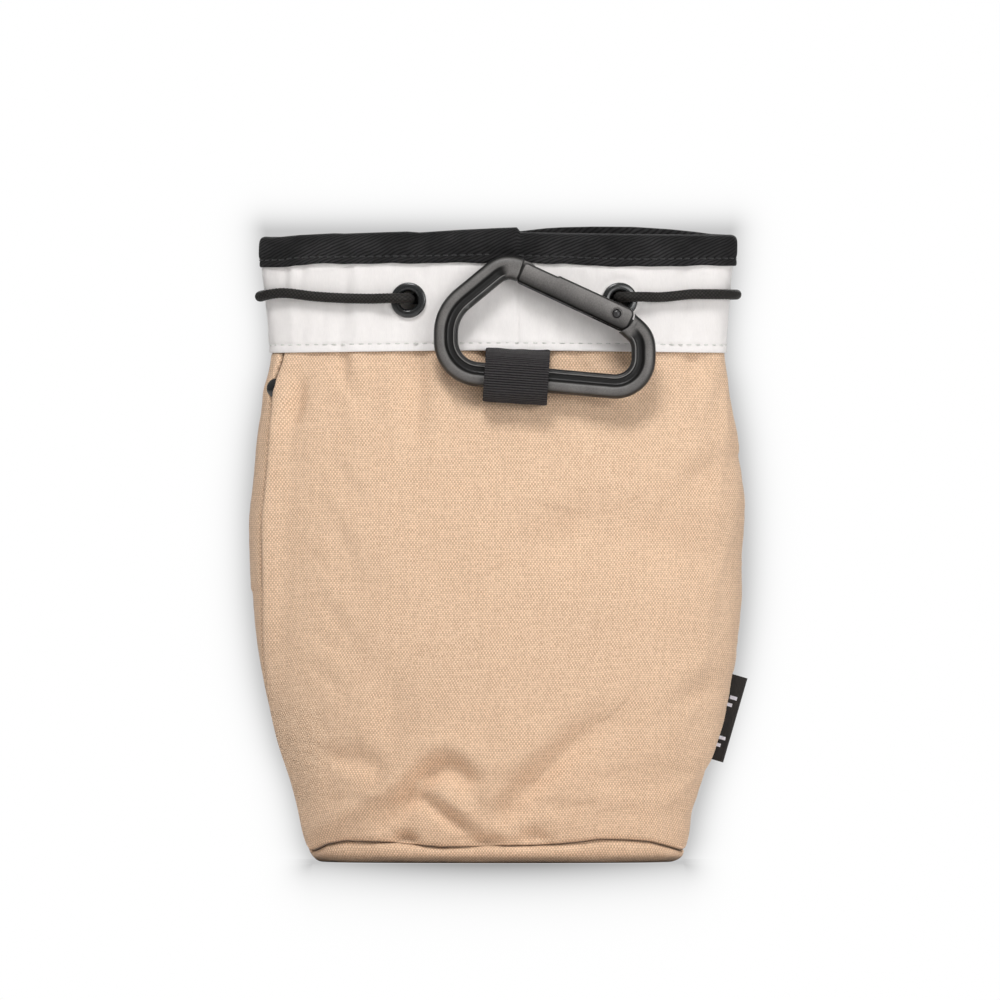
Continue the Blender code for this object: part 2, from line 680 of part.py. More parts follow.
gate_direction = direction(GATE_ANGLE)
to_last_corner = (Vector(FRAME_CORNERS[-1][0]) - GATE_PIVOT).normalized()
frame_line = filleted(FRAME_CORNERS, start=GATE_PIVOT + gate_direction * (GATE_LENGTH + 0.6),
                      end=GATE_PIVOT + to_last_corner * 4.5)
carabiner_frame = show("carabiner_frame", swept_bar(frame_line), BLACK_METAL,
                       CARABINER @ STAND_UP)

# X runs from the pivot to the nose and +Y points to the inside of the carabiner.
hinge_frame = in_plane(GATE_PIVOT, gate_direction)
shoulder_frame = in_plane(GATE_PIVOT, to_last_corner)
boolean(carabiner_frame, rod("gate_end_seat", SEAT_R, THROUGH, hinge_frame, sides=48))
union(carabiner_frame, rod("hinge_tang_eye", 3.0, 2 * TANG_HALF_T, hinge_frame))
# A hair thinner than the eye, so that their faces don't coincide.
union(carabiner_frame, box("hinge_tang_neck", (9.0, 4.2, 2 * TANG_HALF_T - 0.01),
                           at(shoulder_frame, 3.9)))
union(carabiner_frame, box("nose_tang", (6.2, 4.3, 2 * TANG_HALF_T),
                           at(hinge_frame, GATE_LENGTH - 1.5, -1.25)))
boolean(carabiner_frame, rod("tang_pin_hole", PIN_HOLE_R, THROUGH, hinge_frame, sides=20))

# ---------------------------------------------------------------- carabiner: gate
GATE_OUTER = -3.3               # y of the gate's outer side
GATE_IN_HINGE, GATE_IN_NOSE = 4.1, 3.75     # y of its inner side, at its two ends
GATE_BACK_X = -5.0              # its end behind the pivot
HINGE_OUTER_R, HINGE_INNER_R, NOSE_R = 2.0, 2.6, 1.0    # corner radii in the outline
GATE_STEP, GATE_STEP_X = 0.45, 21.8         # the outer side steps in from here to the nose
GATE_EDGE = 0.7                 # rounding of the gate's edges
NOSE_SLOT_LENGTH, NOSE_SLOT_START = 7.0, 5.2    # the slot starts this far before the end
FOLLOWER_START, FOLLOWER_LENGTH = 3.4, 6.8


def gate_mesh():
    nose_x = GATE_LENGTH - NOSE_R
    stepped_y = GATE_OUTER + GATE_STEP
    outline = arc((GATE_BACK_X + HINGE_OUTER_R, GATE_OUTER + HINGE_OUTER_R), HINGE_OUTER_R,
                  270, 180, 5)
    outline += arc((GATE_BACK_X + HINGE_INNER_R, GATE_IN_HINGE - HINGE_INNER_R), HINGE_INNER_R,
                   180, 90, 6)
    outline += arc((nose_x, GATE_IN_NOSE - NOSE_R), NOSE_R, 90, 0, 3)
    outline += arc((nose_x, stepped_y + NOSE_R), NOSE_R, 0, -90, 3)
    outline += [(GATE_STEP_X, stepped_y), (GATE_STEP_X - 0.5, GATE_OUTER)]
    solid = filled_outline("gate_outline", [outline], GATE_HALF_T - GATE_EDGE)
    solid.data.bevel_depth = GATE_EDGE * MM
    solid.data.bevel_resolution = 1
    solid.data.offset = -GATE_EDGE * MM
    return take_mesh(solid)


carabiner_gate = show("carabiner_gate", gate_mesh(), BLACK_METAL, hinge_frame)
nose_slot_x = GATE_LENGTH - NOSE_SLOT_START + NOSE_SLOT_LENGTH / 2
boolean(carabiner_gate, box("hinge_slot", (12.0, 12.0, 2 * SLOT_HALF_T), at(hinge_frame, 0.5)))
boolean(carabiner_gate, box("nose_slot", (NOSE_SLOT_LENGTH, 6.0, 2 * SLOT_HALF_T),
                            at(hinge_frame, nose_slot_x, -1.6)))
boolean(carabiner_gate, rod("spring_bore", 1.55, 17.0, at(hinge_frame, 14.0) @ ALONG_X,
                            sides=16))
boolean(carabiner_gate, rod("gate_pin_hole", PIN_HOLE_R, THROUGH, hinge_frame, sides=20))

gate_pin = rod("gate_pin", PIN_R, 2 * GATE_HALF_T - 0.1, hinge_frame, BLACK_METAL, sides=20,
               bevel=0.25)
gate_follower = rod("gate_follower", 1.25, FOLLOWER_LENGTH,
                    at(hinge_frame, FOLLOWER_START + FOLLOWER_LENGTH / 2) @ ALONG_X, STEEL,
                    sides=16, bevel=0.5)
gate_spring = coil("gate_spring", hinge_frame, radius=1.0, wire=0.2, turns=7.0, start=10.7,
                   end=22.0, per_turn=9)

# Hang the pieces on the pivot without moving them.
for piece in (carabiner_frame, carabiner_gate, gate_pin, gate_follower, gate_spring):
    world = piece.matrix_world.copy()
    piece.parent = carabiner_pivot
    piece.matrix_parent_inverse = carabiner_pivot.matrix_world.inverted()
    piece.matrix_world = world

# ---------------------------------------------------------------- rivet behind the left seam
RIVET_Z, RIVET_R = 148.1, 2.9
RIVET_SEAM_GAP = 0.4
# (radius, height above the reference surface)
RIVET_CAP = [(0.0, 1.45), (1.2, 1.35), (2.2, 1.0), (RIVET_R, 0.35), (RIVET_R, 0.3), (0.9, 0.3),
             (0.9, -0.15), (0.0, -0.15)]
RIVET_POST = [(0.0, -0.45), (0.7, -0.45), (0.7, -1.2), (0.0, -1.2)]


def rivet_angle():
    """Step back from the left seam until the cap clears it."""
    degrees = left_seam(RIVET_Z)
    seam = skin(degrees, RIVET_Z)
    while (skin(degrees, RIVET_Z) - seam).length < RIVET_R + RIVET_SEAM_GAP:
        degrees -= 0.25
    return degrees


rivet_seat = stand_on_skin(rivet_angle(), RIVET_Z, 0.0)
turned("side_rivet_cap", RIVET_CAP, rivet_seat, BLACK_METAL, steps=20)
turned("side_rivet_post", RIVET_POST, rivet_seat, BLACK_METAL, steps=12)
rivet_hole = rod("rivet_hole", 1.25, 6.0, rivet_seat, sides=16)
boolean(back_panel, rivet_hole)
boolean(lining, rivet_hole)

# ---------------------------------------------------------------- side label at the right seam
LABEL_Z, LABEL_LEAN = 44.3, 15.5
LABEL_SIZE = (6.0, 0.8, 27.6)
LABEL_GAP = 0.5                 # from the seam to the label's near edge, before it leans

label_place = skin(RIGHT_SEAM_TURN, LABEL_Z)
label_place.x += LABEL_GAP + LABEL_SIZE[0] / 2
box("side_label", LABEL_SIZE,
    Matrix.Translation(label_place * MM) @ Matrix.Rotation(math.radians(LABEL_LEAN), 4, "Y"),
    BLACK_WEB)

# ---------------------------------------------------------------- shading
for ob in PARTS.objects:
    if ob.type == "MESH":
        ob.data.shade_smooth()
        ob.data.set_sharp_from_angle(angle=math.radians(40))
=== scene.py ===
"""A filled drawstring pouch of sand canvas with a white collar band, and a carabiner on its front.

It stands on z = 0 about the origin, z up, wide along x. The front faces -y and its right side is +x;
the cord lock hangs at the back (+y). Lengths are millimetres until they become mesh coordinates;
a place on the bag is an angle round its oval section (0 at +x, 90 at the back) and a height z.
"""

import json
import math

import bmesh
import bpy
import numpy as np
from mathutils import Matrix, Vector, noise


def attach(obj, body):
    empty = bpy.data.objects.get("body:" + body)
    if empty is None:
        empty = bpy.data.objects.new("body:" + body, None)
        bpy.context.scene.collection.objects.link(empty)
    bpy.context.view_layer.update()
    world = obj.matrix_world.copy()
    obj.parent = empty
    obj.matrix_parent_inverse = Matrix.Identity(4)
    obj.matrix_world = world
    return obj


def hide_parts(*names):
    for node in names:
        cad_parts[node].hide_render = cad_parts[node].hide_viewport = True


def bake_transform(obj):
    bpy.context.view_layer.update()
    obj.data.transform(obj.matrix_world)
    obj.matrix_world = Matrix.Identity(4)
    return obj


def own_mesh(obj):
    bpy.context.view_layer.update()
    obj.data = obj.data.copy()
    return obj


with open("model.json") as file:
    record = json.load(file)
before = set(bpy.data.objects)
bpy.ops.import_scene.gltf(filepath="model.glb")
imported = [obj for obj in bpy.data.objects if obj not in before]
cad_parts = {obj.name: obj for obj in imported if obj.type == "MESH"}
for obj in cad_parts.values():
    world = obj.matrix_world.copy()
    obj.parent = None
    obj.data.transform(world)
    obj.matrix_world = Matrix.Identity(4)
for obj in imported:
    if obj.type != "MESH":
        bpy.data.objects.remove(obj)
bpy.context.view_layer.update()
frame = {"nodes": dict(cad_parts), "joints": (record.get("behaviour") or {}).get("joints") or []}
MM = 0.001

# ============================================================ driving dimensions
# (height, half width) and (height, half depth) of the bag's oval section
HALF_WIDTH = [(0, 56.5), (6, 59.2), (20, 62.5), (40, 69.2), (65, 74.6), (98, 77.0), (128, 75.5),
              (146, 72.6), (159.4, 70.3), (187.5, 72.4), (197, 72.4)]
HALF_DEPTH = [(0, 19.0), (6, 23.0), (20, 25.5), (40, 27.5), (65, 28.0), (98, 26.5), (128, 22.4),
              (146, 18.4), (159.4, 15.8), (187.5, 14.2), (197, 14.0)]
# (height, extra half width): the filled bag bulges a little unevenly to each side
LEFT_SWELL = [(0, 0), (8, .6), (15, .7), (21, .6), (27, .3), (40, .2), (58, .1), (71, .3),
              (96, .2), (108, .6), (121, .2), (146, .4), (153, 0), (200, 0)]
RIGHT_SWELL = [(0, 0), (8, -.5), (15, -1.3), (21, -.7), (27, -.8), (33, -.3), (46, 0), (58, 0),
               (71, -.5), (80, -.6), (96, -.4), (108, -.2), (121, -.2), (146, -.3), (153, 0),
               (200, 0)]
# (height, degrees past 180) of the left side seam; the right one is upright
LEFT_SEAM = [(0, 0.0), (43, 3.0), (62, 13.0), (80, 18.3), (105, 19.8), (126, 20.3), (140, 18.6),
             (151, 16.8), (158, 17.6), (170, 17.4)]
RIGHT_SEAM = 15.0

PANEL_TOP = 165.5           # the panels end here, behind the collar band
CANVAS_THICKNESS = 0.8
BAND_LIFT = 1.2             # outside of the collar band over the section
BAND_SEAM_X = 5.9           # upright join in the front of the band
SECTION_TOP = 197.0         # the section is taken no higher than this

EYELET_X = (-27.8, 37.7)
EYELET_Z = 175.3
CORD_RADIUS = 1.5
CORD_STRANDS, BRAID_PITCH = 8, 1.25
WEB_RIB = 0.76              # pitch of the webbing's cross ribs


# ============================================================ curves and the bag's surface
def unit(vectors):
    return vectors / np.linalg.norm(vectors, axis=-1, keepdims=True)


def distance_along(points):
    """Running length at each point of a path."""
    return np.concatenate([[0], np.cumsum(np.linalg.norm(np.diff(points, axis=0), axis=1))])


def smooth_curve(points, z):
    """Smooth curve through (z, value) points, held at its ends."""
    knots, values = np.array(points, float).T
    index = np.arange(len(knots))
    before, after = np.maximum(index - 1, 0), np.minimum(index + 1, len(knots) - 1)
    slope = (values[after] - values[before]) / (knots[after] - knots[before])
    z = np.clip(np.asarray(z, float), knots[0], knots[-1])
    i = np.clip(np.searchsorted(knots, z, side="right") - 1, 0, len(knots) - 2)
    span = knots[i + 1] - knots[i]
    t = (z - knots[i]) / span
    return ((2 * t ** 3 - 3 * t ** 2 + 1) * values[i] + (t ** 3 - 2 * t ** 2 + t) * span * slope[i]
            + (-2 * t ** 3 + 3 * t ** 2) * values[i + 1] + (t ** 3 - t ** 2) * span * slope[i + 1])


def straight_curve(points, x):
    knots, values = np.array(points, float).T
    return np.interp(x, knots, values)


def ease(t):
    """Smooth step from 0 to 1 as t goes from 0 to 1."""
    t = np.clip(t, 0.0, 1.0)
    return t * t * (3 - 2 * t)


def bell(value, centre, width):
    return np.exp(-((value - centre) / width) ** 2)


def round_over(distance, radius):
    """How far an edge rolled over with this radius drops, at a distance in from it."""
    t = np.clip((radius - distance) / radius, 0, 1)
    return radius * (1 - np.sqrt(np.maximum(0.0, 1 - t * t)))


def section(degrees, z, exact=False):
    """Point and outward normal of the bag's section. exact leaves out the uneven swell."""
    degrees, z = np.broadcast_arrays(np.asarray(degrees, float), np.asarray(z, float))
    cosine, sine = np.cos(np.radians(degrees)), np.sin(np.radians(degrees))
    width, depth = smooth_curve(HALF_WIDTH, z), smooth_curve(HALF_DEPTH, z)
    if not exact:
        swell = np.where(cosine < 0, smooth_curve(LEFT_SWELL, z), smooth_curve(RIGHT_SWELL, z))
        width = width + swell
    normal = unit(np.stack([depth * cosine, width * sine, np.zeros_like(width)], -1))
    return np.stack([width * cosine, depth * sine, z], -1), normal


def skin(degrees, z, offset=0.0, exact=False):
    """Points at an offset outside the section."""
    points, normal = section(degrees, z, exact)
    return points + normal * np.asarray(offset, float)[..., None]


def true_normal(degrees, z):
    """Surface normal that also leans with the bag's side."""
    up = skin(degrees, z + 1.0, exact=True) - skin(degrees, z - 1.0, exact=True)
    normal = section(degrees, z, True)[1]
    return unit(normal - up * ((normal @ up) / (up @ up)))


def angle_at_x(x, z):
    """Angle of the front of the section at x."""
    return 360.0 - math.degrees(math.acos(x / float(smooth_curve(HALF_WIDTH, z))))


def even_angles(start, end, count, z=98.0):
    """Angles evenly spaced along the outline of the section at height z."""
    fine = np.linspace(start, end, 2400)
    run = distance_along(skin(fine, z))
    return np.interp(np.linspace(0, run[-1], count), run, fine)


def ring_angles(count, z=170.0):
    return even_angles(0, 360, count + 1, z)[:-1]


def fractal_noise(points, scale, seed, octaves=2):
    """Smooth noise at an array of points, about -1 to 1."""
    shift = np.array([seed, seed * 1.7, -seed])
    flat = np.asarray(points, float).reshape(-1, 3) / scale + shift
    values = np.array([noise.fractal(Vector(p), 1.0, 2.0, octaves) for p in flat])
    return values.reshape(np.asarray(points).shape[:-1])


def resample(points, step, smoothing):
    """A path at even steps, then averaged with its neighbours a number of times."""
    points = np.array(points, float)
    run = distance_along(points)
    even = np.linspace(0, run[-1], int(run[-1] / step) + 1)
    path = np.stack([np.interp(even, run, axis) for axis in points.T], -1)
    for _ in range(smoothing):
        path[1:-1] = (path[:-2] + 2 * path[1:-1] + path[2:]) / 4
    return path


def arc(centre, radius, start, end, steps):
    angles = [math.radians(start + (end - start) * k / steps) for k in range(steps + 1)]
    return [(centre[0] + radius * math.cos(a), centre[1] + radius * math.sin(a)) for a in angles]


def corner_arc(before, corner, after, radius, steps=None):
    """Points that round one corner; without steps, about one for every 3 degrees."""
    corner = np.array(corner, float)
    to_before, to_after = unit(before - corner), unit(after - corner)
    half = math.acos(float(to_before @ to_after)) / 2
    reach = radius / math.tan(half)
    centre = corner + unit(to_before + to_after) * radius / math.sin(half)
    start, end = (math.atan2(*(corner + way * reach - centre)[::-1])
                  for way in (to_before, to_after))
    turn = (end - start + math.pi) % (2 * math.pi) - math.pi
    steps = steps or max(4, int(abs(math.degrees(turn)) / 3.0))
    angles = [start + turn * k / steps for k in range(steps + 1)]
    return [centre + radius * np.array([math.cos(a), math.sin(a)]) for a in angles]


def rounded(corners, radii, steps):
    """A closed outline with every corner rounded."""
    outline = []
    for i, (corner, radius) in enumerate(zip(corners, radii)):
        after = corners[(i + 1) % len(corners)]
        outline += corner_arc(np.array(corners[i - 1]), corner, np.array(after), radius, steps)
    return outline


# ============================================================ mesh helpers
def link_object(name, mesh):
    ob = bpy.data.objects.new(name, mesh)
    bpy.context.scene.collection.objects.link(ob)
    return ob


def mesh_object(name, vertices, faces):
    """A linked object from vertices in mm."""
    mesh = bpy.data.meshes.new(name)
    mesh.from_pydata((np.asarray(vertices, float).reshape(-1, 3) * MM).tolist(), [], faces)
    mesh.update()
    return link_object(name, mesh)


def bmesh_object(name, bm, matrix=None):
    mesh = bpy.data.meshes.new(name)
    bm.to_mesh(mesh)
    bm.free()
    if matrix:
        mesh.transform(matrix)
    return link_object(name, mesh)


def grid_object(name, points, uv=None, closed=False, closed_rows=False, flip=False):
    """A mesh from points (rows, columns, 3). uv is (rows, columns [+1 if closed], 2)."""
    rows, columns = points.shape[:2]
    column, row = np.meshgrid(np.arange(columns if closed else columns - 1),
                              np.arange(rows if closed_rows else rows - 1))
    column, row = column.ravel(), row.ravel()
    next_column, next_row = (column + 1) % columns, (row + 1) % rows
    quads = np.stack([row * columns + column, row * columns + next_column,
                      next_row * columns + next_column, next_row * columns + column], -1)
    order = [0, 3, 2, 1] if flip else [0, 1, 2, 3]
    ob = mesh_object(name, points, quads[:, order].tolist())
    if uv is not None:
        corners = np.stack([uv[row, column], uv[row, column + 1],
                            uv[row + 1, column + 1], uv[row + 1, column]], 1)[:, order]
        layer = ob.data.uv_layers.new(name="UVMap")
        layer.data.foreach_set("uv", corners.reshape(-1).astype(np.float32))
    ob.data.shade_smooth()
    return ob


def run_uv(points, closed=False):
    """UV in mm: u along each row from its middle column, v up the middle column."""
    if closed:
        points = np.concatenate([points, points[:, :1]], 1)
    steps = np.linalg.norm(np.diff(points, axis=1), axis=2)
    u = np.concatenate([np.zeros((len(points), 1)), np.cumsum(steps, 1)], 1)
    middle = points.shape[1] // 2
    u = u - u[:, middle:middle + 1]
    v = distance_along(points[:, middle])
    return np.stack([u, np.repeat(v[:, None], points.shape[1], 1)], -1)


def tidy(ob, weld=False, fill_below=None, outward=True):
    """Weld doubles, fill holes whose rim lies under a height (m) and turn the faces outward."""
    bm = bmesh.new()
    bm.from_mesh(ob.data)
    if weld:
        bmesh.ops.remove_doubles(bm, verts=bm.verts, dist=1e-7)
    if fill_below is not None:
        rim = [edge for edge in bm.edges
               if edge.is_boundary and all(v.co.z < fill_below for v in edge.verts)]
        bmesh.ops.holes_fill(bm, edges=rim, sides=0)
    if outward:
        bmesh.ops.recalc_face_normals(bm, faces=bm.faces)
    bm.to_mesh(ob.data)
    bm.free()


def solidify(ob, thickness):
    modifier = ob.modifiers.new("thickness", "SOLIDIFY")
    modifier.thickness = thickness * MM
    modifier.offset = -1.0
    modifier.use_even_offset = False


def paint(ob, material):
    ob.data.materials.clear()
    ob.data.materials.append(material)
    return ob


def auto_smooth(ob, degrees):
    ob.data.shade_smooth()
    ob.data.set_sharp_from_angle(angle=math.radians(degrees))


def apply_modifiers(ob):
    bpy.context.view_layer.update()
    depsgraph = bpy.context.evaluated_depsgraph_get()
    mesh = bpy.data.meshes.new_from_object(ob.evaluated_get(depsgraph))
    ob.modifiers.clear()
    ob.data = mesh


def boolean(ob, tool, operation="DIFFERENCE"):
    """Combine ob with a tool object, which is used up."""
    modifier = ob.modifiers.new("cut", "BOOLEAN")
    modifier.operation = operation
    modifier.solver = "EXACT"
    modifier.object = tool
    apply_modifiers(ob)
    bpy.data.objects.remove(tool, do_unlink=True)


def lathe(name, profile, matrix, steps=72, closed=True):
    """A turned piece about its own Z from (radius, height) points."""
    radius, height = np.array(profile, float).T[..., None]
    angles = np.linspace(0, 2 * np.pi, steps, endpoint=False)
    points = np.stack([radius * np.cos(angles), radius * np.sin(angles),
                       np.repeat(height, steps, 1)], -1)
    ob = grid_object(name, points, closed=True, closed_rows=closed)
    tidy(ob, weld=True)
    ob.data.transform(matrix)
    auto_smooth(ob, 50)
    return ob


def block(name, size, matrix, bevel=0.0, segments=3):
    bm = bmesh.new()
    bmesh.ops.create_cube(bm, size=1.0)
    bmesh.ops.scale(bm, vec=Vector(size) * MM, verts=bm.verts)
    if bevel:
        bmesh.ops.bevel(bm, geom=list(bm.edges), offset=bevel * MM, segments=segments,
                        profile=0.5, affect="EDGES")
    return bmesh_object(name, bm, matrix)


def rod(name, radius, length, matrix, sides=48):
    bm = bmesh.new()
    bmesh.ops.create_cone(bm, cap_ends=True, segments=sides, radius1=radius * MM,
                          radius2=radius * MM, depth=length * MM)
    return bmesh_object(name, bm, matrix)


def pillow(name, outline, half_thickness, bevel, steps=6):
    """A counterclockwise outline given a thickness, its edges rounded over."""
    outline = np.array(outline, float)
    along = unit(np.roll(outline, -1, 0) - np.roll(outline, 1, 0))
    outward = np.stack([along[:, 1], -along[:, 0]], -1)
    turns = [math.pi / 2 * k / steps for k in range(steps + 1)]
    lower = [(bevel * (1 - math.sin(a)), -half_thickness + bevel * (1 - math.cos(a)))
             for a in turns]
    rings = []
    for inset, height in lower + [(inset, -height) for inset, height in lower[::-1]]:
        ring = outline - outward * inset
        rings.append(np.column_stack([ring, np.full(len(ring), height)]))
    ob = grid_object(name, np.stack(rings), closed=True)
    tidy(ob, fill_below=math.inf)
    return ob


def shift(x, y, z):
    return Matrix.Translation(Vector((x, y, z)) * MM)


def axes_matrix(x_axis, y_axis, z_axis, origin):
    matrix = Matrix((x_axis, y_axis, z_axis)).transposed().to_4x4()
    matrix.translation = Vector(origin) * MM
    return matrix


def seat(degrees, z, offset):
    """Frame on the bag's surface, its Z pointing outward."""
    normal = Vector(true_normal(degrees, z))
    level = Vector((0, 0, 1)).cross(normal).normalized()
    return axes_matrix(level, normal.cross(level), normal, skin(degrees, z, offset, True))


def eyelet_seat(x):
    return seat(angle_at_x(x, EYELET_Z), EYELET_Z, BAND_LIFT)


# ============================================================ shader graph
class Signal:
    """One shader output. Arithmetic on it adds Math nodes to its graph."""

    def __init__(self, graph, socket):
        self.graph, self.socket = graph, socket

    def __add__(self, other):
        return self.graph.math("ADD", self, other)

    def __radd__(self, other):
        return self.graph.math("ADD", other, self)

    def __sub__(self, other):
        return self.graph.math("SUBTRACT", self, other)

    def __rsub__(self, other):
        return self.graph.math("SUBTRACT", other, self)

    def __mul__(self, other):
        return self.graph.math("MULTIPLY", self, other)

    def __truediv__(self, other):
        return self.graph.math("DIVIDE", self, other)

    def __rtruediv__(self, other):
        return self.graph.math("DIVIDE", other, self)

    def __pow__(self, other):
        return self.graph.math("POWER", self, other)

    def __rpow__(self, other):
        return self.graph.math("POWER", other, self)

    def __abs__(self):
        return self.graph.math("ABSOLUTE", self)

    def root(self):
        return self.graph.math("SQRT", self)

    def floor(self):
        return self.graph.math("FLOOR", self)

    def fract(self):
        return self.graph.math("FRACT", self)

    def at_least(self, other):
        return self.graph.math("MAXIMUM", self, other)

    def at_most(self, other):
        return self.graph.math("MINIMUM", self, other)

    def ramp(self, start, end, low, high, smooth=False):
        """Map start..end to low..high."""
        inputs = {"Value": self, "From Min": start, "From Max": end, "To Min": low, "To Max": high}
        kind = "SMOOTHSTEP" if smooth else "LINEAR"
        return self.graph.node("MapRange", inputs, interpolation_type=kind)

    def rise(self, start, end):
        """0 at start, 1 at end, smoothly."""
        return self.ramp(start, end, 0.0, 1.0, smooth=True)

    def fall(self, start, end):
        """1 at start, 0 at end, smoothly."""
        return self.ramp(start, end, 1.0, 0.0, smooth=True)

    def spread(self, low, high):
        """Map the middle range of a noise to low..high."""
        return self.ramp(0.3, 0.7, low, high)


class Graph:
    """The node tree of a material or world, built from nothing."""

    def __init__(self, owner):
        owner.use_nodes = True
        self.owner, self.tree = owner, owner.node_tree
        self.tree.nodes.clear()

    def put(self, socket, value):
        if isinstance(value, Signal):
            self.tree.links.new(value.socket, socket)
        elif value is not None:
            if socket.type == "RGBA" and len(value) == 3:
                value = (*value, 1.0)
            socket.default_value = value

    def add(self, kind, inputs=None, **settings):
        node = self.tree.nodes.new("ShaderNode" + kind)
        for key, value in settings.items():
            setattr(node, key, value)
        for key, value in (inputs or {}).items():
            self.put(node.inputs[key], value)
        return node

    def node(self, kind, inputs=None, out=0, **settings):
        return Signal(self, self.add(kind, inputs, **settings).outputs[out])

    def math(self, operation, *values):
        return self.node("Math", dict(enumerate(values)), operation=operation)

    def coords(self, kind="UV"):
        return self.node("TexCoord", out=kind)

    def split(self, vector):
        node = self.add("SeparateXYZ", {0: vector})
        return [Signal(self, socket) for socket in node.outputs]

    def join(self, x, y, z=0.0):
        return self.node("CombineXYZ", {0: x, 1: y, 2: z})

    def noise(self, vector, scale, detail=2.0, rough=0.5):
        return self.node("TexNoise", {"Vector": vector, "Scale": scale, "Detail": detail,
                                      "Roughness": rough})

    def random(self, x, y, z=0.0):
        """A random value for each whole-number cell."""
        return self.node("TexWhiteNoise", {"Vector": self.join(x, y, z)}, out="Value",
                         noise_dimensions="3D")

    def mix_value(self, factor, low, high):
        return self.node("Mix", {0: factor, 2: low, 3: high}, data_type="FLOAT")

    def mix_colour(self, factor, low, high):
        return self.node("Mix", {0: factor, 6: low, 7: high}, out=2, data_type="RGBA")

    def scale_colour(self, colour, factor):
        return self.node("VectorMath", {0: colour, "Scale": factor}, operation="SCALE")

    def occlusion(self, samples, distance):
        """Ambient occlusion within a distance in metres: low where it is hemmed in."""
        return self.node("AmbientOcclusion", {"Distance": distance}, out="AO", samples=samples)

    def bump(self, height, depth, strength=1.0, under=None):
        """Bump of a depth in mm, over another one if given."""
        return self.node("Bump", {"Height": height, "Distance": depth * MM, "Strength": strength,
                                  "Normal": under})

    def finish(self, kind, shader):
        self.add(kind, {0: shader})
        return self.owner

    def principled(self, **inputs):
        """Finish with a Principled surface; underscores stand for spaces in input names."""
        named = {key.replace("_", " "): value for key, value in inputs.items()}
        return self.finish("OutputMaterial", self.node("BsdfPrincipled", named))


def material_graph(name):
    return Graph(bpy.data.materials.new(name))


# ============================================================ materials
def hill(share):
    """1 in the middle of a thread, 0 at its edges."""
    t = share * 2.0 - 1.0
    return 1.0 - t * t


def plain_weave(g, u, v):
    """Weave height 0 to 1, 1 where the upright thread is on top, and the thread numbers."""
    share_u, share_v, column, row = u.fract(), v.fract(), u.floor(), v.floor()
    upright = g.math("FLOORED_MODULO", column + row, 2.0)
    hill_u, hill_v = hill(share_u), hill(share_v)
    upright_height = hill_u ** 0.7 * hill_v ** 0.35
    level_height = hill_v ** 0.7 * hill_u ** 0.35
    return g.mix_value(upright, level_height, upright_height), upright, column, row


def canvas(name, light, dark, upright_pitch, level_pitch, slub, mottle):
    """Plain weave: its colour is painted light on the proud upright threads and darker on the level
    ones and in the gaps, as painted light and shade of the weave's relief.

    slub is the contrast between threads, mottle that of large soft patches.
    """
    g = material_graph(name)
    x, y, _ = g.split(g.coords())
    sway = 0.9      # how far the threads wander, mm
    u = x + (g.noise(g.join(x, y), scale=0.10) - 0.5) * sway
    v = y + (g.noise(g.join(y, x, 3.0), scale=0.12) - 0.5) * sway
    height, upright, column, row = plain_weave(g, u * (1 / upright_pitch), v * (1 / level_pitch))
    # each thread keeps its tone over a run of about 14 crossings
    upright_tone = g.random(column, (row * 0.07).floor(), 1.0)
    level_tone = g.random(row, (column * 0.07).floor(), 2.0)
    tone = g.mix_value(upright, level_tone, upright_tone)
    cell = g.random(column, row, 5.0)
    # painted light and shade of the weave: lighter on thread crowns and proud upright threads,
    # darker in the gaps; then random thread tone
    relief_shade_and_tone = g.mix_value(upright, height * 0.50, 0.22 + height * 0.78)
    relief_shade_and_tone = relief_shade_and_tone + (tone - 0.5) * slub
    relief_shade_and_tone = relief_shade_and_tone + (cell - 0.5) * (slub * 1.5)
    relief_shade_and_tone = relief_shade_and_tone.rise(0.0, 1.0)
    patches = g.noise(g.join(x, y), scale=0.035, detail=3.0, rough=0.55)
    colour = g.mix_colour(relief_shade_and_tone, dark, light)
    # painted shade deep in each seam and crease, from ambient occlusion
    painted_seam_shade = g.occlusion(samples=6, distance=0.0040).ramp(0.30, 0.78, 0.40, 1.0, smooth=True)
    colour = g.scale_colour(colour, painted_seam_shade * ((1.0 - mottle) + patches * (mottle * 2)))
    return g.principled(Base_Color=colour, Roughness=0.88, Sheen_Weight=0.1, Sheen_Roughness=0.5,
                        Specular_IOR_Level=0.12, Normal=g.bump(height, depth=0.05))


def smooth_cloth(name, colour, thread_pitch=0.22, contrast=0.06, rough=0.7, fleck=0.03):
    """Fine even weave over soft wrinkles. fleck is the contrast of random threads."""
    g = material_graph(name)
    x, y, _ = g.split(g.coords())
    height, _, column, row = plain_weave(g, x * (1 / thread_pitch), y * (1 / thread_pitch))
    cell = g.random(column, (row * 0.2).floor(), 5.0)
    fibre = g.noise(g.join(x * 1.0, y * 0.2), scale=1.6, detail=3.0)
    patches = g.noise(g.join(x, y), scale=0.12, detail=3.0)
    # painted shade: the gaps between threads darker, the crowns lighter
    shade = (1.0 - contrast) + height * contrast
    shade = shade + (cell - 0.5) * fleck
    shade = shade + (fibre - 0.5) * (fleck * 1.5)
    shade = shade * patches.spread(low=0.985, high=1.01)
    wrinkles = g.noise(g.join(x, y), scale=0.35, detail=3.0, rough=0.6)
    creased = g.bump(wrinkles, depth=0.12, strength=0.6)
    return g.principled(Base_Color=g.scale_colour(colour, shade), Roughness=rough,
                        Sheen_Weight=0.2, Specular_IOR_Level=0.25,
                        Normal=g.bump(height, depth=0.02, under=creased))


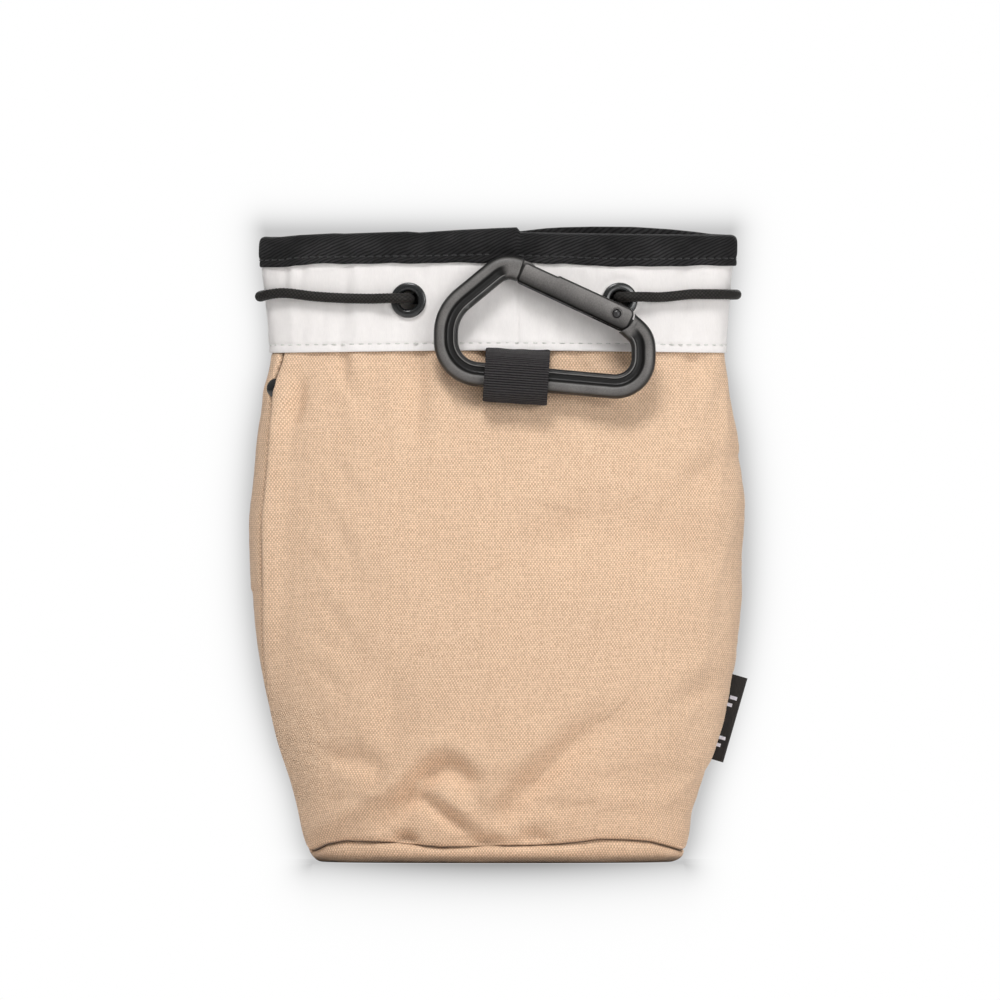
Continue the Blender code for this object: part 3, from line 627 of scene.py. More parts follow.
def twill_tape(name, colour, pitch, slope, contrast):
    """Slanting twill ridges, each a row of beads, painted lighter on the ridges and darker between
    them, with soft patches painted darker and lighter as the shade of puckers.
    """
    g = material_graph(name)
    x, y, _ = g.split(g.coords())
    bend = (g.noise(g.join(x, y), scale=0.16) - 0.5) * 1.2
    ridge_number = (y - x * slope + bend) * (1 / pitch)
    ridge = hill(ridge_number.fract())
    bead_pitch, bead_stagger = 0.42, 0.37
    bead = hill((x * (1 / bead_pitch) + ridge_number.floor() * bead_stagger).fract())
    height = ridge ** 0.8 * (0.55 + bead ** 0.6 * 0.45)
    tone = g.random(ridge_number.floor(), (x * 0.35).floor())
    # painted light and shade: the ridges lighter, the valleys between them darker
    shade = 0.10 + height ** 1.4 * (contrast * 4.2)
    shade = shade + (tone - 0.5) * 0.35
    # painted shade of puckers: soft patches darker and lighter
    wear_and_shade = g.noise(g.join(x, y, 7.0), scale=0.09, detail=3.0)
    shade = shade * wear_and_shade.spread(low=0.55, high=1.5)
    return g.principled(Base_Color=g.scale_colour(colour, shade), Roughness=0.75,
                        Sheen_Weight=0.04, Sheen_Roughness=0.45, Specular_IOR_Level=0.16,
                        Normal=g.bump(height, depth=0.15))


def ribbed_web(name, colour, thread_pitch=0.38):
    """Cross ribs painted lighter where they catch the light, with finer threads along the strap."""
    g = material_graph(name)
    x, y, _ = g.split(g.coords())
    threads = hill((x * (1 / thread_pitch)).fract())
    cell = g.random((x * (1 / thread_pitch)).floor(), (y * (1 / WEB_RIB)).floor())
    rib = hill((y * (1 / WEB_RIB)).fract())
    # painted light on the rib and thread crowns, painted shade between them; then random tone
    shade = 0.16 + threads * 0.3
    shade = shade + rib ** 1.8 * 2.3
    shade = shade + (cell - 0.5) * 0.35
    return g.principled(Base_Color=g.scale_colour(colour, shade), Roughness=0.72,
                        Sheen_Weight=0.05, Specular_IOR_Level=0.16,
                        Normal=g.bump(rib * 3.0 + threads, depth=0.05))


def braid(name, colour):
    """Strands crossing round a cord; u goes once round, v is mm along it."""
    g = material_graph(name)
    turn, along, _ = g.split(g.coords())
    right = turn * CORD_STRANDS + along * (1 / BRAID_PITCH)
    left = turn * CORD_STRANDS - along * (1 / BRAID_PITCH)
    height, _, right_number, left_number = plain_weave(g, right, left)
    strand = g.noise(g.join(right * 3.0, left * 3.0), scale=1.0)
    cell = g.random(right_number, left_number)
    # painted light on the strands' crowns, painted shade in the gaps between them
    shade = 0.10 + height ** 1.6 * 2.1
    shade = shade + (cell - 0.5) * 0.3
    shade = shade * strand.spread(low=0.8, high=1.2)
    fibres = g.noise(g.join(right * 2.0, left * 9.0), scale=1.0)
    return g.principled(Base_Color=g.scale_colour(colour, shade), Roughness=0.62,
                        Sheen_Weight=0.04, Specular_IOR_Level=0.22,
                        Normal=g.bump(fibres, depth=0.05, strength=0.8))


def satin_metal(name, colour, rough, grain=0.02, edge=0.06, metallic=0.0, coat=0.0):
    """Fine-grained metal. grain is the bump in mm, edge how bright the rubbed edges are."""
    g = material_graph(name)
    position = g.coords("Object")
    fine = g.noise(position, scale=2600.0, detail=3.0, rough=0.6)
    cloud = g.noise(position, scale=130.0, detail=3.0)
    wear_and_shade = g.node("NewGeometry", out="Pointiness").rise(0.51, 0.56)
    wear_and_shade = wear_and_shade * cloud.ramp(0.4, 0.65, 0.2, 1.0)
    shade = fine.spread(low=0.85, high=1.15) * cloud.spread(low=0.9, high=1.12)
    base = g.mix_colour(wear_and_shade * (edge * 4), g.scale_colour(colour, shade), (0.22, 0.215, 0.21))
    return g.principled(Base_Color=base,
                        Roughness=(fine + cloud).ramp(0.7, 1.3, rough - 0.05, rough + 0.07),
                        Metallic=metallic, Specular_IOR_Level=0.5, Coat_Weight=coat,
                        Coat_Roughness=0.2, Normal=g.bump(fine, depth=grain, strength=0.7))


def anodised(name, sheen_colour, dark, facing, grooved=False, across=None):
    """Painted sheen and shade: the sheen colour on faces toward the front and back, dark elsewhere.

    facing is how squarely a face must look that way before the painted sheen starts. grooved reads
    the forged bar's UV: u is mm outward, v is 0 where the bar is plain and 1 where it is grooved.
    across is (point, direction, near, far) in mm: a painted light gradient, the sheen and colour
    dying away from near to far.
    """
    g = material_graph(name)
    position = g.coords("Object")
    normal = g.split(g.coords("Normal"))
    fine = g.noise(position, scale=2400.0, detail=3.0, rough=0.6)
    cloud = g.noise(position, scale=110.0, detail=3.0)
    # painted sheen on faces toward the front and back; the edges and sides are painted dark as shade
    sheen_mask = abs(normal[1]).rise(facing, 0.98)
    # the painted sheen is kept to the outer bead; the groove and inner bead stay dark as painted
    # shade
    if grooved:
        u, v, _ = g.split(g.coords())
        outer_bead = u.rise(0.2, 0.9).at_least(v.fall(0.0, 0.8))
        rim_highlight = u.rise(-2.62, -2.40) * u.fall(-2.30, -2.14) * v.rise(0.3, 0.9)
        sheen_mask = sheen_mask * outer_bead
    blotch = fine.ramp(0.25, 0.75, 0.72, 1.28) * cloud.spread(low=0.82, high=1.14)
    base = g.mix_colour(sheen_mask, dark, g.scale_colour(sheen_colour, blotch))
    wear_and_shade = g.node("NewGeometry", out="Pointiness").rise(0.515, 0.56)
    wear_and_shade = wear_and_shade * cloud.ramp(0.42, 0.62, 0.15, 1.0)
    base = g.mix_colour(wear_and_shade * 0.3, base, (0.26, 0.255, 0.25))
    # painted highlight: a thin light line along the inner bead's edge
    if grooved:
        base = g.mix_colour(rim_highlight * 0.75, base, (0.30, 0.29, 0.28))
    shine = sheen_mask.ramp(0.0, 1.0, 0.30, 0.6)
    # painted light and shade across the gate: lighter at near, darker by far
    if across:
        point, way, near, far = across
        x, y, z = g.split(position)
        depth = x * (way[0] / MM) + y * (way[1] / MM) + z * (way[2] / MM)
        lit = (depth - point.dot(way)).fall(near, far) ** 0.8
        base = g.scale_colour(base, 0.12 + lit * 1.8)
        shine = shine * (0.15 + lit * 0.85)
    normal = g.bump(fine, depth=0.018, strength=sheen_mask.ramp(0.0, 1.0, 0.25, 0.9))
    return g.principled(Base_Color=base, Roughness=sheen_mask.ramp(0.0, 1.0, 0.36, 0.50),
                        Specular_IOR_Level=shine, Normal=normal)


def plastic(name, colour, rough):
    g = material_graph(name)
    position = g.coords("Object")
    fine = g.noise(position, scale=3200.0)
    cloud = g.noise(position, scale=90.0)
    return g.principled(Base_Color=g.scale_colour(colour, cloud.spread(low=0.9, high=1.1)),
                        Roughness=fine.spread(low=rough - 0.06, high=rough + 0.06),
                        Specular_IOR_Level=0.5, Normal=g.bump(fine, depth=0.02, strength=0.6))


def thread(name, colour, rough=0.6):
    g = material_graph(name)
    fine = g.noise(g.coords("Object"), scale=3000.0)
    return g.principled(Base_Color=g.scale_colour(colour, fine.spread(low=0.8, high=1.15)),
                        Roughness=rough, Sheen_Weight=0.3)


SAND = canvas("sand_canvas", light=(0.985, 0.725, 0.517), dark=(0.56, 0.3625, 0.2345),
              upright_pitch=0.485, level_pitch=0.66, slub=0.16, mottle=0.03)
WHITE = smooth_cloth("white_band", (0.935, 0.900, 0.880))
TAPE = twill_tape("black_tape", (0.0098, 0.0095, 0.0097), pitch=1.0, slope=0.42, contrast=0.7)
WEBBING = ribbed_web("black_webbing", (0.020, 0.0182, 0.0188))
LINING = smooth_cloth("pale_lining", (0.70, 0.66, 0.62), thread_pitch=0.3, contrast=0.08,
                      rough=0.5)
CORD = braid("black_cord", (0.0165, 0.0150, 0.0135))
LABEL = smooth_cloth("black_label", (0.030, 0.026, 0.024), thread_pitch=0.24, contrast=0.3,
                     fleck=0.2)
CARABINER_BLACK = anodised("carabiner_black", sheen_colour=(0.120, 0.113, 0.107),
                           dark=(0.0115, 0.011, 0.0105), facing=0.55, grooved=True)
PIN_BLACK = satin_metal("pin_black", (0.022, 0.021, 0.021), rough=0.34)
EYELET_BLACK = satin_metal("eyelet_black", (0.014, 0.015, 0.015), rough=0.22, grain=0.006,
                           edge=0.03, coat=0.6)
PLASTIC = plastic("black_plastic", (0.022, 0.022, 0.023), rough=0.48)
STEEL = satin_metal("spring_steel", (0.55, 0.55, 0.56), rough=0.25, metallic=1.0)
BLACK_THREAD = thread("black_thread", (0.012, 0.012, 0.0125))
WHITE_THREAD = thread("white_thread", (0.70, 0.70, 0.66))
# painted shade: a dark thread colour for capsules that stand for the shade in needle holes
NEEDLE_HOLE_SHADE = thread("needle_hole_shade", (0.10, 0.105, 0.09), rough=0.9)
LABEL_MARK = thread("label_mark", (0.80, 0.78, 0.86), rough=0.7)

# ============================================================ front and back panels
FOLD_GAIN = 2.1     # every fold's depth and crown is multiplied by this
# Folds as ([(x, z), ...], width, depth, crown): a valley with a soft crown on its left side.
# A negative depth is a ridge.
FRONT_FOLDS = [
    # dent, and the roof-shaped dimple above the left half of the base
    ([(-52.5, 31.5), (-45.0, 33.0), (-39.0, 30.5), (-36.0, 25.0)], 4.2, 1.15, 0.0),
    ([(-34.5, 12.5), (-31.0, 18.0), (-24.5, 25.5), (-18.5, 31.6), (-12.5, 30.0), (-8.2, 24.0)],
     3.5, 2.0, 0.75),
    ([(-28.0, 20.0), (-22.0, 19.5), (-14.6, 14.0), (-8.8, 9.2), (-2.0, 6.6)], 2.5, 1.5, 0.6),
    ([(-33.0, 6.4), (-29.0, 8.8), (-25.5, 6.4)], 1.8, 1.6, 0.0),
    ([(-14.0, 6.6), (-6.0, 7.2), (4.7, 6.4)], 1.6, 0.8, 0.2),
    # ridge that runs up from the base's left corner
    ([(-58.0, 8.5), (-49.0, 15.0), (-40.0, 20.5), (-30.0, 28.0)], 3.4, -1.3, 0.0),
    # long soft valley to the right of the middle, and the one under it
    ([(-1.0, 11.5), (6.0, 21.0), (16.5, 31.0), (31.0, 43.5)], 4.8, 1.9, 0.9),
    ([(6.0, 6.8), (11.0, 9.0), (16.0, 6.9)], 2.2, 1.1, 0.0),
    # wide diagonal break across the belly
    ([(9.0, 97.0), (20.0, 102.5), (32.0, 108.6)], 7.5, 0.9, 0.8),
    ([(33.0, 106.5), (52.0, 101.0), (72.0, 94.5)], 9.0, 1.0, 0.7),
    ([(56.5, 116.0), (71.0, 125.5)], 5.0, 1.0, 0.5),
    ([(57.0, 51.0), (70.0, 57.8)], 4.0, 1.0, 0.5),
    ([(-33.5, 36.0), (-32.6, 58.0)], 5.0, 0.6, 0.3),
    # puckers that hang from the band's seam, and by the left seam
    ([(-48.6, 160.0), (-48.2, 150.0)], 2.4, 0.7, 0.3),
    ([(-24.8, 161.0), (-24.0, 147.0), (-26.0, 134.0)], 3.6, 0.8, 0.5),
    ([(-66.0, 136.0), (-63.5, 142.0), (-61.5, 150.0)], 2.8, 1.1, 0.4),
    ([(24.0, 158.0), (27.0, 152.0)], 2.4, 0.5, 0.2),
    ([(60.0, 160.0), (62.0, 148.0)], 3.4, 0.6, 0.3),
]
BACK_FOLDS = [
    ([(50.0, 12.0), (38.0, 24.0), (30.0, 33.0)], 4.0, 1.6, 0.8),
    ([(-52.0, 10.0), (-40.0, 22.0), (-34.0, 30.0)], 4.2, 1.5, 0.8),
    ([(12.0, 9.0), (4.0, 20.0), (-6.0, 27.0)], 4.4, 1.6, 0.8),
    ([(-20.0, 7.0), (-14.0, 13.0)], 2.4, 1.2, 0.3),
    ([(26.0, 7.0), (22.0, 13.0)], 2.4, 1.2, 0.3),
    ([(-60.0, 92.0), (-38.0, 101.0), (-14.0, 104.0)], 8.0, 1.0, 0.7),
    ([(62.0, 70.0), (40.0, 80.0)], 8.0, 1.0, 0.6),
    ([(20.0, 160.0), (21.0, 142.0)], 3.6, 0.9, 0.4),
    ([(-22.0, 160.0), (-20.0, 138.0)], 3.8, 0.9, 0.4),
    ([(48.0, 159.0), (46.0, 148.0)], 2.8, 0.7, 0.3),
    ([(-50.0, 159.0), (-52.0, 146.0)], 2.8, 0.7, 0.3),
    ([(-30.0, 60.0), (-28.0, 40.0)], 6.0, 0.7, 0.4),
]
# (x, height) of the seam between the front panel and the base strip
FRONT_HEM = [(-60, 3.4), (-57.5, 4.2), (-54, 5.6), (-47.8, 6.8), (-38, 6.5), (-30, 5.9),
             (-18, 4.9), (-8, 5.2), (5, 5.3), (16, 5.6), (24, 6.4), (32, 7.4), (40, 7.1),
             (47.5, 6.5), (54, 4.8), (58.4, 3.6), (61, 3.2)]
PANEL_COLUMNS = 208
PANEL_ROWS = 176

# The cloth simulation runs on every second row and column, at ten times the size.
SETTLE_STEP, SETTLE_SCALE, SETTLE_FRAMES = 2, 10.0, 16
SETTLE_CAP = 0.45           # furthest a point may move, mm
SETTLE_CLOTH = dict(
    quality=7, mass=0.35, tension_stiffness=22, compression_stiffness=22, shear_stiffness=8,
    bending_stiffness=1.6, tension_damping=8, compression_damping=8, shear_damping=8,
    air_damping=2.0, vertex_group_mass="held", pin_stiffness=1.0,
    shrink_min=-0.012, shrink_max=-0.012,       # negative: the cloth is larger than its outline
    use_pressure=True, uniform_pressure_force=0.12)
SETTLE_GRAVITY = 0.12


def hem_height(x, front):
    back = 5.2 + 0.7 * np.sin(x / 13.0) + 0.4 * np.sin(x / 5.1 + 1.0)
    return np.where(front, straight_curve(FRONT_HEM, x), back)


def creases(x, z, strokes):
    """Offset made by all the folds together."""
    offset = np.zeros_like(x)
    for points, width, depth, crown in strokes:
        path = np.array(points, float)
        for _ in range(2 if len(path) > 2 else 0):      # corners cut so that the fold bends
            cuts = np.concatenate([path[:-1] * 0.75 + path[1:] * 0.25,
                                   path[:-1] * 0.25 + path[1:] * 0.75], 1).reshape(-1, 2)
            path = np.concatenate([path[:1], cuts[1:-1], path[-1:]])
        run = distance_along(path)
        nearest = np.full(x.shape, 1e9)
        side, along = np.zeros_like(x), np.zeros_like(x)
        for begin, end, start in zip(path[:-1], path[1:], run):
            length = np.linalg.norm(end - begin)
            way = (end - begin) / length
            dx, dz = x - begin[0], z - begin[1]
            reach = np.clip(dx * way[0] + dz * way[1], 0, length)
            distance = np.hypot(dx - reach * way[0], dz - reach * way[1])
            closer = distance < nearest
            nearest = np.where(closer, distance, nearest)
            side = np.where(closer, np.sign(way[0] * dz - way[1] * dx), side)
            along = np.where(closer, (start + reach) / run[-1], along)
        fade = np.sin(np.pi * np.clip(along * 0.86 + 0.07, 0, 1)) ** 0.7
        valley = bell(nearest, 0, width)
        bulge = bell(nearest * side, width * 1.7, width * 1.3)
        offset += fade * FOLD_GAIN * (crown * bulge - depth * valley)
    return offset


def settle(points, pins):
    """Let a panel hang as cloth, held where pins is 1; the change is carried to the full grid."""
    rows, columns = (np.unique(np.append(np.arange(0, size, SETTLE_STEP), size - 1))
                     for size in points.shape[:2])
    coarse = points[np.ix_(rows, columns)]
    held = pins[np.ix_(rows, columns)]
    ob = grid_object("settling", coarse * SETTLE_SCALE)
    group = ob.vertex_groups.new(name="held")
    for level in (1.0, 0.6, 0.3):
        index = np.nonzero(np.abs(held.ravel() - level) < 0.16)[0]
        group.add(index.tolist(), level, "REPLACE")
    cloth = ob.modifiers.new("cloth", "CLOTH")
    for key, value in SETTLE_CLOTH.items():
        setattr(cloth.settings, key, value)
    cloth.settings.effector_weights.gravity = SETTLE_GRAVITY
    cloth.collision_settings.use_collision = False
    cloth.collision_settings.use_self_collision = False
    scene = bpy.context.scene
    cloth.point_cache.frame_start, cloth.point_cache.frame_end = 1, SETTLE_FRAMES
    scene.frame_start, scene.frame_end = 1, SETTLE_FRAMES
    for number in range(1, SETTLE_FRAMES + 1):
        scene.frame_set(number)
    mesh = ob.evaluated_get(bpy.context.evaluated_depsgraph_get()).to_mesh()
    settled = np.empty(len(mesh.vertices) * 3, np.float32)
    mesh.vertices.foreach_get("co", settled)
    moved = settled.reshape(coarse.shape).astype(float) / (SETTLE_SCALE * MM) - coarse
    ob.to_mesh_clear()
    scene.frame_set(1)
    bpy.data.objects.remove(ob, do_unlink=True)

    length = np.linalg.norm(moved, axis=-1, keepdims=True)
    moved *= SETTLE_CAP * np.tanh(length / SETTLE_CAP) / np.maximum(length, 1e-9)
    moved *= (1 - held)[..., None]
    all_rows, all_columns = (np.arange(size) for size in points.shape[:2])
    wide = np.stack([np.stack([np.interp(all_columns, columns, row[:, k]) for row in moved])
                     for k in range(3)], -1)
    full = np.stack([np.stack([np.interp(all_rows, rows, wide[:, j, k]) for j in all_columns], 1)
                     for k in range(3)], -1)
    for _ in range(2):
        full[1:-1, 1:-1] = (full[1:-1, 1:-1] * 4 + full[:-2, 1:-1] + full[2:, 1:-1]
                            + full[1:-1, :-2] + full[1:-1, 2:]) / 8
    return points + full


def panel(front):
    up = np.linspace(0, 1, PANEL_ROWS)
    up = up - 0.10 * np.sin(2 * np.pi * up) / (2 * np.pi)       # rows closer at hem and band
    across = np.linspace(0, 1, PANEL_COLUMNS)
    across = across - 0.35 * np.sin(2 * np.pi * across) / (2 * np.pi)
    hem_z = 6       # rough height of the hem, until its x is known
    edge_z = hem_z + (PANEL_TOP - hem_z) * up
    left_seam = 180.0 + smooth_curve(LEFT_SEAM, edge_z)

    def row_angles(edge_z):
        rows = []
        for seam, depth in zip(left_seam, smooth_curve(HALF_DEPTH, edge_z)):
            if front:
                ends = seam, 360 + RIGHT_SEAM - 0.5
            else:       # the back panel runs on 2.4 mm under the front one
                ends = RIGHT_SEAM + 0.5, seam + math.degrees(2.4 / depth)
            rows.append(np.interp(across, np.linspace(0, 1, 400), even_angles(*ends, 400)))
        return np.array(rows)

    hem = hem_height(skin(row_angles(edge_z)[0], hem_z)[:, 0], front)
    z = hem + (PANEL_TOP - hem) * up[:, None]
    angles = row_angles(z[:, 0])
    base, normal = section(angles, z)
    steps = np.linalg.norm(np.diff(base, axis=1), axis=2)
    from_first = np.concatenate([np.zeros((PANEL_ROWS, 1)), np.cumsum(steps, 1)], 1)
    from_last = from_first[:, -1:] - from_first
    above_hem = z - hem
    folds = creases(base[..., 0], z, FRONT_FOLDS if front else BACK_FOLDS)

    # soft unevenness, stilled at the edges
    offset = (fractal_noise(base, 26.0, 3.0 if front else 11.0) * 0.38
              + fractal_noise(base * [1, 1, 0.6], 9.0, 5.0) * 0.14)
    edge_calm = ease(np.minimum(from_first, from_last) / 7.0)
    offset = offset * ease(above_hem / 7.0) * ease((168 - z) / 8.0) * edge_calm
    if not front:       # the strip beside the front panel's folded edge hangs smooth
        offset *= 0.15 + 0.85 * ease((from_last - 6.0) / 24.0)
    offset -= round_over(above_hem, 1.5) * 1.1
    seam_height = ease((z - 40) / 40)
    from_right = from_last if front else from_first
    if front:           # its left edge laps over the back panel
        lap = 1 - ease(from_first / 9.0)
        offset += lap * (0.45 * ease((166 - z) / 8) + 1.6 * seam_height * ease((161 - z) / 14))
        offset -= round_over(from_first, 1.1) * 1.2
    offset -= round_over(from_right, 1.3) * 0.8
    offset += 0.35 * bell(from_right, 3.0, 1.6)
    if not front:
        under = 1 - ease((from_last - 3.0) / 3.0)
        offset += (1.45 * ease((z - 139) / 9) * ease((159.9 - z) / 2.0)
                   * (1 - ease((from_last - 3.0) / 13.0)))
        offset -= (1.0 + 2.3 * seam_height) * under
    # two swells by the right seam
    offset += (0.9 * bell(z, 83, 11) + 0.6 * bell(z, 14, 8)) * (1 - ease((from_right - 2.0) / 14.0))
    points = base + normal * offset[..., None]
    left, right = (from_first * 0.3, from_last) if front else (from_first, from_last * 0.3)
    border = np.minimum(np.minimum(left, right),
                        np.minimum(above_hem * 0.7, (PANEL_TOP - z) * 0.5))
    pins = np.select([border < 3.0, border < 5.0, border < 7.0], [1.0, 0.6, 0.3], 0.0)
    points = settle(points, pins)
    fold_offset = folds * ease((above_hem + 1.0) / 2.5) * edge_calm
    points = points + normal * fold_offset[..., None]
    name = "front_panel_cloth" if front else "back_panel_cloth"
    ob = grid_object(name, points, run_uv(base))
    solidify(ob, CANVAS_THICKNESS)
    return paint(ob, SAND)


front_cloth = panel(front=True)
back_cloth = panel(front=False)

# ============================================================ base
# (share of hem height, offset): tucked behind the panel, out at the seam, the rounded strip,
# then the edge of the underside
BASE_STRIP = [(1.45, -3.2), (1.22, -2.6), (1.04, -1.9), (0.97, -1.15), (0.88, -0.75),
              (0.76, -0.5), (0.62, -0.6), (0.48, -0.95), (0.34, -1.5), (0.22, -2.15),
              (0.12, -2.9), (0.05, -3.7), (0.012, -4.7), (0.0, -6.0)]
BASE_RINGS = (0.9, 0.75, 0.55, 0.35, 0.18, 0.06)        # shares of the underside's outline


def base_piece():
    columns = 300
    angles = ring_angles(columns, 6.0)
    x = skin(angles, 6.0)[:, 0]
    hem = hem_height(x, np.sin(np.radians(angles)) < 0)
    wave = 0.25 * np.sin(x / 6.3) + 0.15 * np.sin(x / 2.9 + 1)
    rows = []
    for share, offset in BASE_STRIP:
        ring = skin(angles, np.clip(hem, 4, 8), offset + wave * (0.2 < share < 1.0))
        ring[:, 2] = hem * share
        rows.append(ring)
    outline = rows[-1]
    for share in BASE_RINGS:
        ring = outline * [share, share, 1]
        ripple = 0.5 + 0.5 * np.sin(ring[:, 0] / 9.0) * np.cos(ring[:, 1] / 7.0)
        ring[:, 2] = 0.25 * (1 - share) * ripple
        rows.append(ring)
    points = np.stack(rows)
    wrapped = np.concatenate([points, points[:, :1]], 1)
    strip = len(BASE_STRIP)
    uv = wrapped[..., :2].copy()
    uv[:strip, :, 0] = distance_along(wrapped[5])
    uv[:strip, :, 1] = -distance_along(points[:strip, columns // 4])[:, None]
    ob = grid_object("base_cloth", points, uv, closed=True, flip=True)
    tidy(ob, fill_below=0.002, outward=False)
    ob.data.shade_smooth()
    solidify(ob, CANVAS_THICKNESS)
    return paint(ob, SAND)


base_cloth = base_piece()

# ============================================================ collar band
# (x, width, depth) of the front's upright dents; those left of x = -60 start above z = 172
BAND_DENTS = ((-67.0, 1.6, 0.7), (-62.0, 1.5, 0.45), (-48.0, 2.2, 0.5), (-24.6, 2.2, 0.45),
              (57.0, 2.4, 0.35))
BAND_RAISED = 0.85          # lift of the band's low edge over the webbing


def band_bow(x, y):
    """How much the low edge bows upward."""
    return np.where(y < 0, 0.35 * np.cos(x / 26.0), 0.3 * np.cos(x / 31.0))


def over_webbing(x):
    return ease((x + 6.8) / 2.2) * ease((18.4 - x) / 2.2)


def band_cloth():
    angles = ring_angles(460)
    heights = np.concatenate([[159.3, 159.45, 159.8], np.linspace(160.3, 164.0, 11),
                              np.linspace(164.8, 191.0, 30)])
    base, normal = section(*np.meshgrid(angles, heights), True)
    x, y, z = np.moveaxis(base, -1, 0)
    front = y < 0
    offset = np.full(x.shape, BAND_LIFT)
    offset -= round_over(z - 159.25, 0.5) * 0.9
    offset -= 0.22 * bell(z, 161.75, 0.45)
    # puckers along the stitch line
    run = distance_along(skin(angles, 170.0))
    pucker = np.sin(run * 2 * np.pi / 5.7 + 1.5 * np.sin(run / 11.0))
    offset += 0.10 * pucker * bell(z, 162.2, 2.2)
    # ripples, drawn out upright
    stretched = np.stack([x, y, z * 0.22], -1)
    offset += (0.42 * fractal_noise(stretched, 9.0, 2.0)
               * ease((z - 160) / 5) * ease((190 - z) / 5))
    offset += (0.20 * fractal_noise(stretched * [1, 1, 1.5], 3.2, 9.0)
               * ease((z - 160) / 4) * ease((189 - z) / 3))
    for dent_x, width, depth in BAND_DENTS:
        top = ease((z - 172) / 8) if dent_x < -60 else 1.0
        dent = depth * bell(x - (z - 174) * 0.10, dent_x, width) * top * ease((190 - z) / 4)
        offset -= np.where(front, dent, 0)
    # the joins, front and back, and the lapped edge left of the front one
    seam = np.where(front, bell(x, BAND_SEAM_X, 0.28), bell(x, -20.0, 0.28))
    offset -= 0.62 * seam * ease((z - 160.2) / 2.0)
    lapped = ease((BAND_SEAM_X - x) / 0.8) * ease((x - BAND_SEAM_X + 7) / 3)
    offset += np.where(front, 0.10 * lapped, 0)
    offset += np.where(front, BAND_RAISED * over_webbing(x) * ease((165.5 - z) / 5.0), 0)
    for eyelet_x in EYELET_X:       # flat under each eyelet, with a groove round it
        radius = np.hypot(x - eyelet_x, z - EYELET_Z)
        flat = offset + (BAND_LIFT - offset) * (1 - ease((radius - 6.0) / 3.0))
        offset = np.where(front, flat - 0.25 * bell(radius, 6.6, 0.7), offset)
    points = base + normal * offset[..., None]
    points[..., 2] = z + band_bow(x, y) * (1 - ease((z - 159) / 10)) * 0.9
    ob = grid_object("collar_band_cloth", points, run_uv(base, closed=True), closed=True)
    solidify(ob, CANVAS_THICKNESS)
    apply_modifiers(ob)
    hole = [(3.65, 6), (3.65, -6), (0.0, -6), (0.0, 6)]
    for eyelet_x in EYELET_X:
        boolean(ob, lathe("cut", hole, eyelet_seat(eyelet_x), steps=40, closed=False))
    return paint(ob, WHITE)


band = band_cloth()

# ============================================================ rim binding over the mouth's edge
# (x, height) of its top edge, front and back, and of its low edge
RIM_TOP_FRONT = [(-75, 195.3), (-73, 195.5), (-69.7, 195.1), (-61.9, 195.8), (-51, 196.3),
                 (-47.8, 196.2), (-35.3, 196.6), (-28.4, 196.8), (-24.4, 196.5), (-11.9, 197.3),
                 (0.6, 197.9), (6.2, 198.1), (6.7, 196.6), (20, 196.3), (45, 196.0), (60, 195.9),
                 (73, 196.0), (76, 195.9)]
RIM_TOP_BACK = [(-76, 195.3), (-73, 195.4), (-50, 195.6), (-20, 196.0), (0, 196.8), (8, 197.5),
                (15, 198.3), (20, 198.6), (30, 198.8), (42, 198.7), (47, 198.4), (54, 197.9),
                (61.5, 197.1), (66.5, 196.4), (73, 196.0), (76, 195.8)]
RIM_LOW = [(-76, 185.7), (-65.4, 185.8), (-63, 186.3), (-57.8, 186.7), (-30, 186.8),
           (-2.5, 187.1), (10, 187.0), (19, 186.7), (30, 186.1), (41, 185.8), (57, 186.1),
           (76, 186.4)]
# (share of the way from low edge to top, offset) round the fold, outside first
RIM_SHAPE = [(0.0, 1.5), (0.0, 1.95), (0.02, 2.12), (0.07, 2.2), (0.14, 2.16), (0.2, 2.02),
             (0.235, 1.9), (0.27, 2.0), (0.34, 2.18), (0.44, 2.26), (0.55, 2.28), (0.66, 2.28),
             (0.76, 2.25), (0.84, 2.15), (0.9, 1.95), (0.945, 1.62), (0.975, 1.15),
             (0.993, 0.65), (1.0, 0.15), (0.993, -0.35), (0.97, -0.85), (0.93, -1.2),
             (0.86, -1.42), (0.74, -1.5), (0.55, -1.5), (0.35, -1.45), (0.27, -1.32),
             (0.2, -1.4), (0.1, -1.5), (0.02, -1.45), (0.0, -1.3)]
RIM_STITCH_OUT, RIM_STITCH_IN = 0.235, 0.27     # shares at which the stitch lines lie


def rim_cloth():
    angles = ring_angles(520, 190.0)
    x, y, _ = skin(angles, 190.0, exact=True).T
    back = ease((y + 4.0) / 8.0)
    top = straight_curve(RIM_TOP_FRONT, x) * (1 - back) + straight_curve(RIM_TOP_BACK, x) * back
    low = straight_curve(RIM_LOW, x) + 0.10 * np.sin(x / 3.1) + 0.08 * np.sin(x / 1.7 + 2)
    # the binding's end laps over its start, just left of the band's front join
    lap = np.where(y < 0, ease((BAND_SEAM_X + 0.8 - x) / 0.5) * ease((x + 4.5) / 3.0), 0.0)
    rows = []
    for share, offset in RIM_SHAPE:
        z = low + (top - low) * share
        place = np.stack([x, y, np.full_like(x, share * 3.0)], -1)
        lumps = 0.34 * fractal_noise(place, 5.5, 4.0) + 0.12 * fractal_noise(place, 1.9, 8.0)
        strength = (1 if offset > 0 else 0.4) * (0.25 < share)
        ring = skin(angles, np.minimum(z, SECTION_TOP),
                    offset + lumps * strength + 0.42 * lap * (offset > 0.6), exact=True)
        ring[:, 2] = z
        rows.append(ring)
    points = np.stack(rows)
    ob = grid_object("rim_binding_cloth", points, run_uv(points, closed=True), closed=True)
    solidify(ob, 0.45)
    return paint(ob, TAPE)


rim = rim_cloth()


